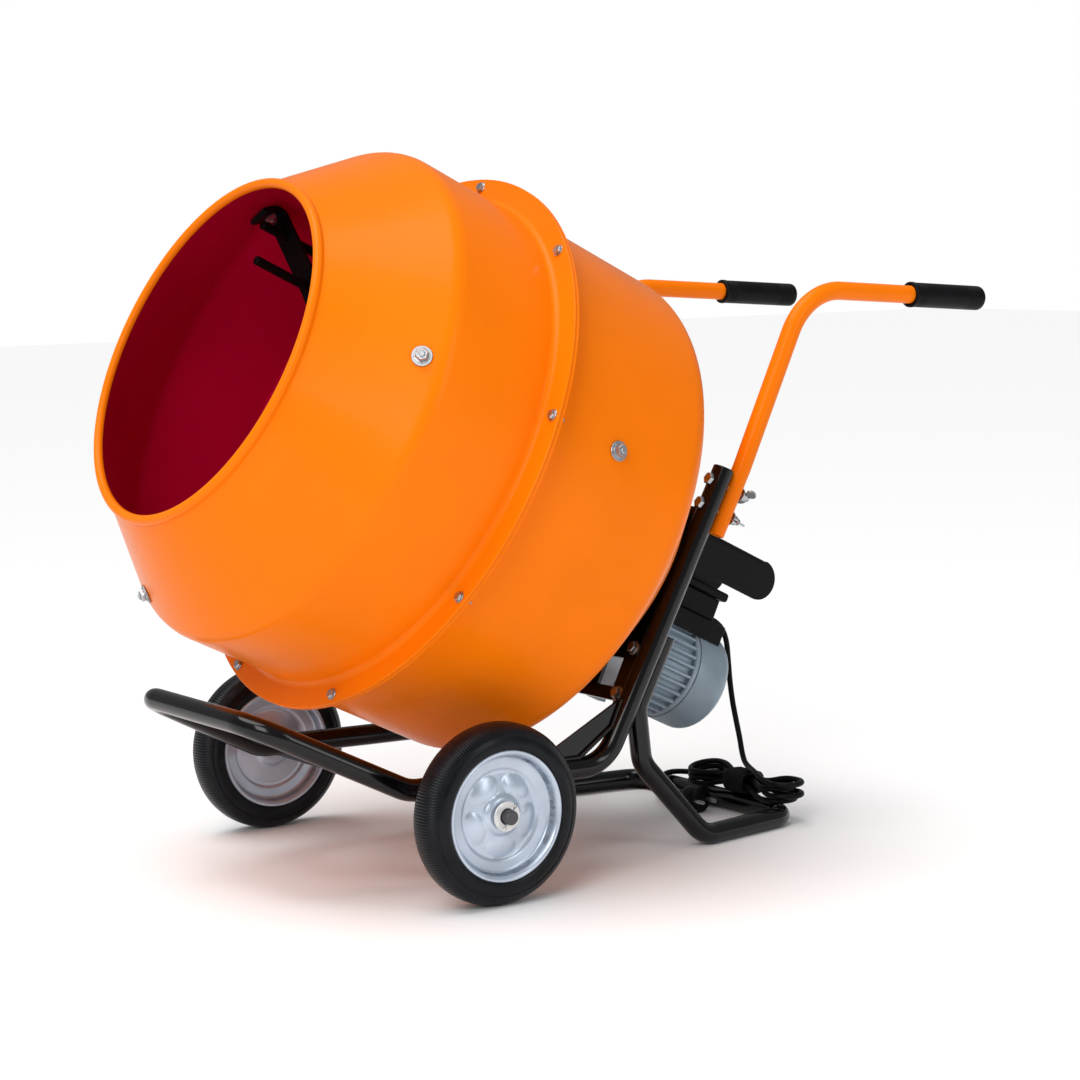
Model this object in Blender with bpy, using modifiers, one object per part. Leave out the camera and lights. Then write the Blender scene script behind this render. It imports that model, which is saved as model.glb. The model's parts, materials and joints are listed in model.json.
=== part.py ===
"""Electric barrow concrete mixer with a two-part drum, a tube frame and a tied mains cord.

World frame: metres, +Z up, the drum's mouth faces -Y, the handles point to +Y, and the origin lies
on the floor under the middle of the machine.  The drum, gear case and motor are laid out in the
drum frame: X as in the world, "up" square to the drum axis, and "back" measured from the mouth
plane along the drum axis, towards the motor.
"""
from math import atan2, ceil, cos, hypot, pi, radians, sin, sqrt, tan

import bmesh
import bpy
from mathutils import Matrix, Vector

# ---------------------------------------------------------------- driving dimensions, metres
GAP = 0.0003                      # clearance kept between touching pieces
RUNNING_GAP = 0.0006              # clearance between pieces that turn in one another
REFERENCE_Y = -0.2617             # world() measures y from here, in front of the origin

TYRE_RADIUS = 0.101
TYRE_WIDTH = 0.046
RIM_RADIUS = 0.0727
WHEEL_X = 0.2495                  # middle plane of each wheel
AXLE_BACK = 0.0170                # the axle, behind the reference line
AXLE_RADIUS = 0.008
HUB_HALF = 0.0190                 # half the length of a wheel's hub tube
PIN_X = WHEEL_X + 0.0262          # the cotter pins, outside the washers

FRAME_TUBE = 0.0254               # outer diameter of the frame tubes
FOOT_WEAR = 0.0006                # the foot tube's underside is worn flat by this much
HANDLE_TUBE = 0.022
GRIP_DIAMETER = 0.030
GRIP_LENGTH = 0.120
FRAME_BEND = 0.048                # centre-line radius of the frame's bends
STAND_BEND = 0.035
HANDLE_BEND_RADIUS = 0.080

DRUM_TILT = radians(26.17)        # the drum axis rises by this towards the mouth
MOUTH_Y = -0.1906                 # mouth centre, from the reference line
MOUTH_Z = 0.6047
SHEET = 0.0025                    # thickness of the drum's sheet
MOUTH_RADIUS = 0.200              # middle of the rolled rim
RIM_BEAD = 0.0055
FRONT_RADIUS = 0.296
REAR_RADIUS = 0.303
FLANGE_RADIUS = 0.326
FLANGE_BOLT_RADIUS = 0.315
FLANGE_BOLTS = 9
FLANGE_BOLT_START = radians(8.3)
SEAM_BACK = 0.2560                # middle of the joint between the two drum halves
DRUM_DEPTH = 0.573
DRUM_STEPS = 30

UPRIGHT_BACK = 0.5923             # the uprights stand square to the drum axis, at this distance
UPRIGHT_TOP = 0.117
UPRIGHT_X = 0.1755                # an upright's middle at the height of the drum axis
SPLAY = 0.055                     # the uprights lean outwards by this per metre

MOTOR_DROP = 0.0985               # the motor axis lies below the drum axis
MOTOR_RADIUS = 0.0625
GEARCASE_BACK = 0.5958            # front face of the gear case
GEARCASE_DEPTH = 0.0542
MOTOR_BACK = GEARCASE_BACK + GEARCASE_DEPTH + GAP
STATOR_LENGTH = 0.1064
FAN_COVER_LENGTH = 0.055

MODULE_FAST = 0.0018              # gear tooth modules
MODULE_SLOW = 0.0021
PINION_FAST = 8
WHEEL_FAST = 52
PINION_SLOW = 9
WHEEL_SLOW = 60

CORD_DIAMETER = 0.0070
HANK_LENGTH = 0.200
HANK_WIDTH = 0.050
HANK_HEIGHT = 0.0286
HANK_CENTRE = (0.062, 0.521)      # from the reference line
PLUG_CENTRE = (0.008, 0.474, 0.0172)
TIE_X = 0.060
TIE_LENGTH = 0.044
TIE_DEPTH = 0.0065

# ---------------------------------------------------------------- scene set-up
for leftover in list(bpy.data.objects):
    bpy.data.objects.remove(leftover, do_unlink=True)

PARTS = bpy.data.collections.new("concrete_mixer")
CUTTERS = bpy.data.collections.new("cutters")
bpy.context.scene.collection.children.link(PARTS)
bpy.context.scene.collection.children.link(CUTTERS)


# ---------------------------------------------------------------- materials
def paint(name, colour, roughness, metallic=0.0):
    """A Principled material of one colour."""
    made = bpy.data.materials.new(name)
    made.use_nodes = True
    shader = made.node_tree.nodes["Principled BSDF"]
    shader.inputs["Base Color"].default_value = (*colour, 1.0)
    shader.inputs["Roughness"].default_value = roughness
    shader.inputs["Metallic"].default_value = metallic
    return made


ORANGE = paint("orange_paint", (0.91, 0.20, 0.005), 0.25)
BLACK = paint("black_paint", (0.012, 0.012, 0.014), 0.25)
RUBBER = paint("black_rubber", (0.02, 0.02, 0.022), 0.6)
PLASTIC = paint("black_plastic", (0.015, 0.015, 0.015), 0.45)
SILVER = paint("silver_paint", (0.45, 0.47, 0.52), 0.35, 0.4)
MOTOR_GREY = paint("motor_grey", (0.36, 0.41, 0.48), 0.4, 0.2)
ZINC = paint("zinc_plate", (0.62, 0.62, 0.60), 0.3, 1.0)
STEEL = paint("plain_steel", (0.42, 0.42, 0.43), 0.35, 1.0)
COPPER = paint("copper_winding", (0.55, 0.24, 0.10), 0.4, 1.0)
GREEN = paint("green_plastic", (0.02, 0.30, 0.06), 0.4)
RED = paint("red_plastic", (0.50, 0.01, 0.01), 0.4)


# ---------------------------------------------------------------- shared shape helpers
def world(x, y, z):
    """A world point whose y is measured from the reference line."""
    return Vector((x, y + REFERENCE_Y, z))


def empty(name, location, rotation=(0.0, 0.0, 0.0), parent=None):
    guide = bpy.data.objects.new(name, None)
    guide.location = location
    guide.rotation_euler = rotation
    guide.parent = parent
    PARTS.objects.link(guide)
    return guide


DRUM_AXIS = empty("drum_axis", world(0.0, MOUTH_Y, MOUTH_Z), (pi / 2 - DRUM_TILT, 0.0, 0.0))


def drum_frame(x, up, back):
    """A place in the drum frame, in the local coordinates of DRUM_AXIS."""
    return Vector((x, up, -back))


def drum_world(x, up, back):
    """The same place in world coordinates."""
    turn = Matrix.Rotation(pi / 2 - DRUM_TILT, 4, "X")
    return world(0.0, MOUTH_Y, MOUTH_Z) + turn @ drum_frame(x, up, back)


def add_object(name, mesh, material, parent=None, location=(0, 0, 0), rotation=(0, 0, 0), smooth=True):
    """Link a mesh as a part, with its material and place."""
    part = bpy.data.objects.new(name, mesh)
    part.parent = parent
    part.location = location
    part.rotation_euler = rotation
    PARTS.objects.link(part)
    if not part.data.materials:
        part.data.materials.append(material)
    if smooth:
        mesh.shade_smooth()
        mesh.set_sharp_from_angle(angle=radians(35))
    return part


def turned(name, profile, steps, material, parent=None, location=(0, 0, 0), rotation=(0, 0, 0)):
    """A turned piece about its own Z: profile of (radius, height), closed unless it meets the axis."""
    mesh = bpy.data.meshes.new(name)
    build = bmesh.new()
    points = [build.verts.new((radius, 0.0, height)) for radius, height in profile]
    for first, second in zip(points, points[1:]):
        build.edges.new((first, second))
    if profile[0][0] > 0.0:
        build.edges.new((points[-1], points[0]))
    build.to_mesh(mesh)
    build.free()
    part = add_object(name, mesh, material, parent, location, rotation, smooth=False)
    screw = part.modifiers.new("turn", "SCREW")
    screw.steps = steps
    screw.render_steps = steps
    screw.use_merge_vertices = True
    screw.merge_threshold = 0.00002
    screw.use_smooth_shade = True
    return part


def arc(centre, radius, start, end, segments):
    """Points on an arc in the plane, angles in radians, both ends included."""
    span = [start + (end - start) * step / segments for step in range(segments + 1)]
    return [(centre[0] + radius * cos(angle), centre[1] + radius * sin(angle)) for angle in span]


def rounded_path(corners, radius, step_angle=radians(17)):
    """A polyline through corners, with each inner corner rounded to the bend radius."""
    path = [Vector(corners[0])]
    for before, corner, after in zip(corners, corners[1:], corners[2:]):
        corner = Vector(corner)
        towards = (corner - Vector(before)).normalized()
        away = (Vector(after) - corner).normalized()
        angle = towards.angle(away)
        reach = radius * tan(angle / 2)
        start = corner - towards * reach
        inward = (away - towards * cos(angle)).normalized()
        centre = start + inward * radius
        steps = max(2, ceil(angle / step_angle))
        for step in range(steps + 1):
            turn = angle * step / steps
            path.append(centre - inward * radius * cos(turn) + towards * radius * sin(turn))
    path.append(Vector(corners[-1]))
    return path


def spline_object(name, paths, closed=False, flat=False):
    """A curve object of POLY splines."""
    curve = bpy.data.curves.new(name, "CURVE")
    curve.dimensions = "2D" if flat else "3D"
    for points in paths:
        spline = curve.splines.new("POLY")
        spline.points.add(len(points) - 1)
        for target, point in zip(spline.points, points):
            target.co = (*point, 1.0) if len(point) == 3 else (*point, 0.0, 1.0)
        spline.use_cyclic_u = closed
    return bpy.data.objects.new(name, curve)


def tube(name, path, diameter, material, sides=8):
    """A round bar or tube along a world path, as a curve with filled caps."""
    rod = spline_object(name, [path])
    rod.data.bevel_depth = diameter / 2
    rod.data.bevel_resolution = (sides - 4) // 2
    rod.data.use_fill_caps = True
    rod.data.materials.append(material)
    PARTS.objects.link(rod)
    return rod


def as_mesh(part):
    """Replace a curve part by its welded mesh, so that it can be cut or joined."""
    bpy.context.view_layer.update()
    evaluated = part.evaluated_get(bpy.context.evaluated_depsgraph_get())
    mesh = bpy.data.meshes.new_from_object(evaluated)
    weld = bmesh.new()
    weld.from_mesh(mesh)
    bmesh.ops.remove_doubles(weld, verts=weld.verts, dist=0.00002)
    bmesh.ops.recalc_face_normals(weld, faces=weld.faces)
    weld.to_mesh(mesh)
    weld.free()
    name = part.name
    place = part.matrix_world.copy()
    material = part.data.materials[0] if part.data.materials else None
    bpy.data.objects.remove(part, do_unlink=True)
    part = bpy.data.objects.new(name, mesh)
    part.matrix_world = place
    PARTS.objects.link(part)
    if material and not mesh.materials:
        mesh.materials.append(material)
    mesh.shade_smooth()
    mesh.set_sharp_from_angle(angle=radians(35))
    return part


def plate(name, outlines, thickness, material, parent=None, location=(0, 0, 0), rotation=(0, 0, 0)):
    """A flat plate of an outline and its holes, centred on its own XY plane."""
    part = spline_object(name, outlines, closed=True, flat=True)
    part.data.fill_mode = "BOTH"
    part.data.extrude = thickness / 2
    part.data.materials.append(material)
    part.parent = parent
    part.location = location
    part.rotation_euler = rotation
    PARTS.objects.link(part)
    return part


def block(name, size, material, parent=None, location=(0, 0, 0), rotation=(0, 0, 0), round_edge=0.0):
    """A box, with its long edges eased where a radius is given."""
    mesh = bpy.data.meshes.new(name)
    build = bmesh.new()
    bmesh.ops.create_cube(build, size=1.0)
    bmesh.ops.scale(build, vec=size, verts=build.verts)
    build.to_mesh(mesh)
    build.free()
    part = add_object(name, mesh, material, parent, location, rotation, smooth=False)
    if round_edge:
        bevel = part.modifiers.new("ease", "BEVEL")
        bevel.width = round_edge
        bevel.segments = 2
    return part


def cylinder_mesh(name, radius, length, sides, end_radius=None):
    """A round bar along Z, centred, as a mesh."""
    mesh = bpy.data.meshes.new(name)
    build = bmesh.new()
    bmesh.ops.create_cone(build, cap_ends=True, segments=sides, radius1=radius,
                          radius2=radius if end_radius is None else end_radius, depth=length)
    build.to_mesh(mesh)
    build.free()
    return mesh


def rod(name, radius, length, material, parent=None, location=(0, 0, 0), rotation=(0, 0, 0), sides=16,
        end_radius=None):
    mesh = cylinder_mesh(name, radius, length, sides, end_radius)
    return add_object(name, mesh, material, parent, location, rotation)


def cutter(name, mesh, parent=None, location=(0, 0, 0), rotation=(0, 0, 0)):
    """A hidden solid that other pieces are cut with."""
    tool = bpy.data.objects.new(name, mesh)
    tool.parent = parent
    tool.location = location
    tool.rotation_euler = rotation
    tool.display_type = "WIRE"
    tool.hide_render = True
    tool.hide_viewport = True
    CUTTERS.objects.link(tool)
    return tool


def cut(part, tool):
    """Take a cutter's shape out of a part."""
    boolean = part.modifiers.new("cut " + tool.name, "BOOLEAN")
    boolean.operation = "DIFFERENCE"
    boolean.solver = "EXACT"
    boolean.object = tool
    return part


def fuse(part, name, mesh, parent=None, location=(0, 0, 0), rotation=(0, 0, 0)):
    """Join a further shape to a part, as one solid."""
    boolean = part.modifiers.new("fuse " + name, "BOOLEAN")
    boolean.operation = "UNION"
    boolean.solver = "EXACT"
    boolean.object = cutter(name, mesh, parent, location, rotation)
    return part


def flat_mesh(outlines, thickness):
    """The closed mesh of a flat plate, centred on its own XY plane."""
    part = as_mesh(plate("flat", outlines, thickness, STEEL))
    mesh = part.data
    bpy.data.objects.remove(part, do_unlink=True)
    mesh.materials.clear()
    return mesh


def joined(pieces):
    """One mesh holding several shapes, from (mesh, matrix) pairs."""
    mesh = bpy.data.meshes.new("joined")
    build = bmesh.new()
    for source, place in pieces:
        copy = source.copy()
        copy.transform(place)
        build.from_mesh(copy)
        bpy.data.meshes.remove(copy)
    build.to_mesh(mesh)
    build.free()
    return mesh


def lathe_mesh(profile, sides):
    """A small turned mesh about Z whose open profile runs down from the axis and back to it."""
    build = bmesh.new()
    verts = [build.verts.new((radius, 0.0, height)) for radius, height in profile]
    edges = [build.edges.new(pair) for pair in zip(verts, verts[1:])]
    if profile[0][0] > 0.0:
        edges.append(build.edges.new((verts[-1], verts[0])))
    bmesh.ops.spin(build, geom=verts + edges, cent=(0, 0, 0), axis=(0, 0, 1), angle=2 * pi,
                   steps=sides, use_merge=True)
    bmesh.ops.remove_doubles(build, verts=build.verts, dist=0.00002)
    bmesh.ops.recalc_face_normals(build, faces=build.faces)
    mesh = bpy.data.meshes.new("turned")
    build.to_mesh(mesh)
    build.free()
    return mesh


def bolt_mesh(head_radius, head_height, shank_radius, shank_length):
    """A hexagon bolt: its seat is at Z = 0, its head above and its shank below."""
    return lathe_mesh([(0.0, head_height), (head_radius, head_height), (head_radius, 0.0),
                       (shank_radius, 0.0), (shank_radius, -shank_length), (0.0, -shank_length)], 6)


def ring_mesh(outer, inner, height, sides=6):
    """A nut or washer standing on Z = 0."""
    return lathe_mesh([(outer, height), (outer, 0.0), (inner, 0.0), (inner, height)], sides)


def facing(location, direction, spin=0.0):
    """A matrix that puts a piece's +Z along a direction, at a place."""
    turn = Vector(direction).to_track_quat("Z", "Y").to_matrix().to_4x4()
    return Matrix.Translation(Vector(location)) @ turn @ Matrix.Rotation(spin, 4, "Z")


def around(angle, radius, back):
    """A drum-frame place at an angle about the drum axis."""
    return drum_frame(radius * cos(angle), radius * sin(angle), back)


# ---------------------------------------------------------------- drum
CONE_SLOPE = (0.2902 - 0.203) / (0.1116 - 0.007)
BLADE_ANGLES = [radians(9.0 + 120.0 * step) for step in range(3)]
BLADE_FRONT_BACK = 0.0985         # where each blade's front bolt goes through the front cone
BLADE_REAR_BACK = 0.357
BLADE_CLEAR = 0.0023              # between a blade's feet and the faceted wall


def front_profile():
    """Outer side from the rolled rim to the flange, then back up the inner side."""
    bead = arc((MOUTH_RADIUS, -0.003), RIM_BEAD, radians(190), radians(-40), 5)
    shoulder = [(0.2902, -0.1116), (0.2946, -0.1192), (FRONT_RADIUS, -0.1276)]
    flange_front = SEAM_BACK - 0.0012 - SHEET
    root = [(FRONT_RADIUS, -flange_front + 0.006), (FRONT_RADIUS + 0.0025, -flange_front + 0.0015)]
    lip = [(FRONT_RADIUS + 0.008, -flange_front), (FLANGE_RADIUS, -flange_front),
           (FLANGE_RADIUS, -flange_front - SHEET), (FRONT_RADIUS - SHEET, -flange_front - SHEET)]
    inner = [(FRONT_RADIUS - SHEET, -0.1282), (0.2882, -0.1136), (0.2015, -0.0092)]
    return bead + shoulder + root + lip + inner


def rear_profile():
    """Outer side from the flange to the flat bottom, then back up the inner side."""
    face = SEAM_BACK + 0.0012
    cone_angle = atan2(1.0, 1.29)
    corner = [(REAR_RADIUS, -0.4586), (0.3001, -0.4735), (0.2895, -0.4862)]
    foot = [(0.1829, -0.5688), (0.1772, -0.5719), (0.1706, -DRUM_DEPTH)]
    hole = 0.030
    inset_x = SHEET * cos(cone_angle)
    inner = [(hole, -DRUM_DEPTH), (hole, -DRUM_DEPTH + SHEET), (0.1698, -DRUM_DEPTH + SHEET),
             (0.1815, -0.5667), (0.2895 - inset_x * 0.8, -0.4842), (0.2978, -0.4725),
             (REAR_RADIUS - SHEET, -0.4583), (REAR_RADIUS - SHEET, -face)]
    lip = [(FLANGE_RADIUS, -face), (FLANGE_RADIUS, -face - SHEET), (REAR_RADIUS + 0.006, -face - SHEET),
           (REAR_RADIUS, -face - SHEET - 0.006)]
    return lip + corner + foot + inner


def cone_normal():
    """The outward normal of the front cone at X, in (radius, back)."""
    length = hypot(1.0, CONE_SLOPE)
    return 1.0 / length, -CONE_SLOPE / length


def blade_seats():
    """Each blade bolt's place and outward direction: on the front cone and on the rear cylinder."""
    cone_radius = 0.203 + (BLADE_FRONT_BACK - 0.007) * CONE_SLOPE
    out, forward = cone_normal()
    seats = []
    for angle in BLADE_ANGLES:
        radial = Vector((cos(angle), sin(angle), 0.0))
        front = around(angle, cone_radius, BLADE_FRONT_BACK)
        seats.append((front, radial * out + Vector((0, 0, -forward))))
        seats.append((around(angle, REAR_RADIUS, BLADE_REAR_BACK), radial))
    return seats


def make_drum():
    front = turned("drum_front", front_profile(), DRUM_STEPS, ORANGE, DRUM_AXIS)
    rear = turned("drum_rear", rear_profile(), DRUM_STEPS, ORANGE, DRUM_AXIS)
    seal_half = 0.0012 - GAP
    turned("drum_seal", [(0.3080, -SEAM_BACK + seal_half), (0.3080, -SEAM_BACK - seal_half),
                         (0.2925, -SEAM_BACK - seal_half), (0.2925, -SEAM_BACK + seal_half)],
           DRUM_STEPS, RUBBER, DRUM_AXIS)

    shank = 0.003
    hole_mesh = cylinder_mesh("flange_hole", shank + 0.0007, 0.02, 6)
    seat = 0.0012 + SHEET + GAP
    bolt = lathe_mesh([(0.0, seat + 0.0042), (0.0058, seat + 0.0042), (0.0058, seat), (shank, seat),
                       (shank, -seat), (0.0060, -seat), (0.0060, -seat - 0.0055), (0.0, -seat - 0.0055)],
                      6)
    places = [Matrix.Translation(around(FLANGE_BOLT_START + 2 * pi * step / FLANGE_BOLTS,
                                        FLANGE_BOLT_RADIUS, SEAM_BACK)) for step in range(FLANGE_BOLTS)]
    link_half = seal_half - 0.0001
    link = turned("flange_bolts", [(FLANGE_BOLT_RADIUS + 0.0015, -SEAM_BACK + link_half),
                                   (FLANGE_BOLT_RADIUS + 0.0015, -SEAM_BACK - link_half),
                                   (FLANGE_BOLT_RADIUS - 0.0015, -SEAM_BACK - link_half),
                                   (FLANGE_BOLT_RADIUS - 0.0015, -SEAM_BACK + link_half)],
                  2 * FLANGE_BOLTS, ZINC, DRUM_AXIS, (0, 0, 0), (0, 0, FLANGE_BOLT_START))
    fuse(link, "flange_bolt_set", joined([(bolt, place) for place in places]), DRUM_AXIS)
    drill = cutter("flange_holes", joined([(hole_mesh, place) for place in places]), DRUM_AXIS)
    for piece in (front, rear):
        cut(piece, drill)
    return front, rear


def bent_bar(centre_line, thickness, width):
    """A flat bar bent in the XY plane, as a closed mesh."""
    def side(offset):
        points = []
        count = len(centre_line)
        for index in range(count):
            before = Vector(centre_line[max(index - 1, 0)])
            after = Vector(centre_line[min(index + 1, count - 1)])
            here = Vector(centre_line[index])
            along = (after - before).normalized()
            normal = Vector((-along.y, along.x))
            segment = (here - before) if index else (after - here)
            stretch = 1.0 / max(0.35, abs(along.dot(segment.normalized())))
            points.append(here + normal * offset * stretch)
        return points
    outline = side(thickness / 2) + list(reversed(side(-thickness / 2)))
    build = bmesh.new()
    lower = [build.verts.new((point.x, point.y, -width / 2)) for point in outline]
    face = build.faces.new(lower)
    raised = bmesh.ops.extrude_face_region(build, geom=[face])
    moved = [item for item in raised["geom"] if isinstance(item, bmesh.types.BMVert)]
    bmesh.ops.translate(build, verts=moved, vec=(0, 0, width))
    bmesh.ops.recalc_face_normals(build, faces=build.faces)
    mesh = bpy.data.meshes.new("bent_bar")
    build.to_mesh(mesh)
    build.free()
    return mesh


def blade_centre_line():
    """A blade's bent bar in its own plane: X is radius, Y is minus back."""
    bar = 0.006
    out, forward = cone_normal()
    off_wall = SHEET + bar / 2 + BLADE_CLEAR
    def on_cone(back):
        radius = 0.203 + (back - 0.007) * CONE_SLOPE
        return (radius - off_wall * out, -(back - off_wall * forward))
    rear_wall = REAR_RADIUS - off_wall
    return [on_cone(0.082), on_cone(0.1095), (0.185, -0.162), (0.151, -0.174), (0.151, -0.296),
            (0.190, -0.310), (rear_wall, -0.335), (rear_wall, -0.375)]


def make_blades():
    """Three bent bars with two rungs each, bolted through the drum's wall."""
    line = blade_centre_line()
    blade_bar = bent_bar(line, 0.006, 0.028)
    for index, angle in enumerate(BLADE_ANGLES):
        plane = Matrix.Rotation(angle, 4, "Z") @ Matrix.Rotation(pi / 2, 4, "X")
        mesh = blade_bar.copy()
        mesh.transform(plane)
        blade = add_object("mixing_blade_%d" % (index + 1), mesh, BLACK, DRUM_AXIS, smooth=False)
        for number, radius, front, rear in ((1, 0.250, 0.092, 0.352), (2, 0.185, 0.080, 0.340)):
            rung = cylinder_mesh("rung", 0.0055, rear - front, 8)
            fuse(blade, "rung_%d" % number, rung, DRUM_AXIS, around(angle, radius, (front + rear) / 2))


def make_blade_bolts(front, rear):
    """Bolts through the drum wall; each is one solid with its blade, its washer and its nut."""
    shank = 0.005
    lift = 0.0022
    inner = SHEET + BLADE_CLEAR + 0.006
    bolt = lathe_mesh([(0.0, lift + 0.0080), (0.0085, lift + 0.0080), (0.0085, lift + 0.0018),
                       (0.0125, lift + 0.0018), (0.0125, lift), (shank, lift), (shank, -inner + 0.001),
                       (0.0085, -inner + 0.001), (0.0085, -inner - 0.006), (shank, -inner - 0.006),
                       (shank, -inner - 0.010), (0.0, -inner - 0.010)], 6)
    hole = cylinder_mesh("blade_hole", shank + 0.001, 0.008, 8)
    for number, (place, outward) in enumerate(blade_seats()):
        drill = cutter("blade_hole_%d" % number, hole, DRUM_AXIS)
        drill.matrix_local = facing(place, outward)
        cut(front if number % 2 == 0 else rear, drill)
        blade = bpy.data.objects["mixing_blade_%d" % (number // 2 + 1)]
        fuse(blade, "blade_bolt_%d" % number, joined([(bolt, facing(place, outward))]), DRUM_AXIS)


def make_drum_hub():
    """The turned boss that carries the drum's bottom on the output shaft, and its bolts."""
    face = DRUM_DEPTH + GAP
    profile = [(0.062, -face), (0.062, -face - 0.006), (0.034, -face - 0.009), (0.024, -face - 0.0155),
               (0.0131, -face - 0.0155), (0.0131, -face)]
    hub = turned("drum_hub", profile, 18, STEEL, DRUM_AXIS)
    seat = -DRUM_DEPTH + SHEET + GAP
    bolt = bolt_mesh(0.0065, 0.0070, 0.004, 0.0125)
    spots = [around(pi / 4 + step * pi / 2, 0.046, -seat) for step in range(4)]
    spreader = turned("hub_bolts", [(0.053, seat + 0.002), (0.053, seat), (0.039, seat), (0.039, seat + 0.002)],
                      16, ZINC, DRUM_AXIS)
    fuse(spreader, "hub_bolt_set", joined([(bolt, Matrix.Translation(spot)) for spot in spots]), DRUM_AXIS)
    hole = cylinder_mesh("hub_hole", 0.0047, 0.05, 8)
    drill = cutter("hub_holes", joined([(hole, Matrix.Translation(spot)) for spot in spots]), DRUM_AXIS)
    cut(hub, drill)
    cut(bpy.data.objects["drum_rear"], drill)


# ---------------------------------------------------------------- frame
def upright_x(up):
    return UPRIGHT_X + SPLAY * up


def upright_point(side, up, behind=0.0, inward=0.0):
    return drum_world(side * (upright_x(up) - inward), up, UPRIGHT_BACK + behind)


def main_tube_z(y):
    """The main tubes slope down slightly towards the rear."""
    return 0.1187 - 0.0235 * y


def make_main_frame():
    """One tube from upright to upright, round the front of the machine."""
    low_up = -0.2553
    right = [upright_point(1, UPRIGHT_TOP),
             Vector((upright_x(low_up), *drum_world(0, low_up, UPRIGHT_BACK).yz)),
             world(0.166, -0.042, main_tube_z(-0.042)),
             world(0.129, -0.211, 0.206)]
    left = [Vector((-point.x, point.y, point.z)) for point in reversed(right)]
    bar = tube("main_frame", rounded_path(right + left, FRAME_BEND), FRAME_TUBE, BLACK)
    bar = as_mesh(bar)
    fuse(bar, "carrier_lugs", carrier_lugs(), DRUM_AXIS)
    notch = cutter("axle_notch", cylinder_mesh("notch", AXLE_RADIUS + 0.0006, 0.6, 16),
                   None, world(0, AXLE_BACK, TYRE_RADIUS), (0, pi / 2, 0))
    return cut(bar, notch)


def make_rear_stand():
    """The bent foot tube, welded behind and inside the uprights."""
    floor = FRAME_TUBE / 2 - FOOT_WEAR
    behind, inward = 0.0226, 0.0135
    corners = []
    for side in (1, -1):
        leg = [upright_point(side, -0.088, behind, inward),
               upright_point(side, -0.178, behind, inward),
               world(side * 0.158, 0.286, 0.108),
               world(side * 0.172, 0.366, floor),
               world(side * 0.148, 0.519, floor)]
        corners += leg if side == 1 else list(reversed(leg))
    bar = as_mesh(tube("rear_stand", rounded_path(corners, STAND_BEND), FRAME_TUBE, BLACK))
    ground = block("ground", (1.0, 1.0, 0.02), BLACK).data
    bpy.data.objects.remove(bpy.data.objects["ground"], do_unlink=True)
    return cut(bar, cutter("ground", ground, None, world(0, 0.45, -0.01)))


def make_gusset(side, name):
    """A triangular plate inside the lower bend of one side."""
    x = side * upright_x(-0.22)
    clear = FRAME_TUBE / 2 + 0.0006
    corners = [drum_world(x, -0.178, UPRIGHT_BACK - clear), drum_world(x, -0.212, UPRIGHT_BACK - clear),
               world(x, 0.190, main_tube_z(0.190) + clear + 0.0012), world(x, 0.128, main_tube_z(0.128) + clear)]
    # the outline is drawn in the side plane and stood up square to X
    outline = [(point.y, point.z) for point in corners]
    mesh = flat_mesh([outline], 0.004)
    mesh.transform(Matrix(((0, 0, 1, 0), (1, 0, 0, 0), (0, 1, 0, 0), (0, 0, 0, 1))))
    return add_object("gusset_" + name, mesh, BLACK, None, (x, 0, 0), smooth=False)


# ---------------------------------------------------------------- wheels
def make_axle():
    """The through axle, with its washers and cotter pins."""
    length = 2 * (WHEEL_X + 0.0315)
    axle = rod("axle", AXLE_RADIUS, length, ZINC, None, world(0, AXLE_BACK, TYRE_RADIUS), (0, pi / 2, 0), 14)
    pin = lathe_mesh([(0.0, 0.017), (0.0035, 0.017), (0.0035, 0.0125), (0.0013, 0.0122),
                      (0.0013, -0.0145), (0.0, -0.0145)], 8)
    hole = cylinder_mesh("pin_hole", 0.0019, 0.04, 8)
    washer = ring_mesh(0.0165, AXLE_RADIUS + 0.0006, 0.0018, 16)
    for side, name in ((1, "right"), (-1, "left")):
        spot = world(side * PIN_X, AXLE_BACK, TYRE_RADIUS)
        cut(axle, cutter("pin_hole_" + name, hole, None, spot))
        add_object("cotter_pin_" + name, pin, STEEL, None, spot)
        seat = world(side * (WHEEL_X + HUB_HALF + RUNNING_GAP), AXLE_BACK, TYRE_RADIUS)
        add_object("axle_washer_" + name, washer, ZINC, None, seat, (0, side * pi / 2, 0))


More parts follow.
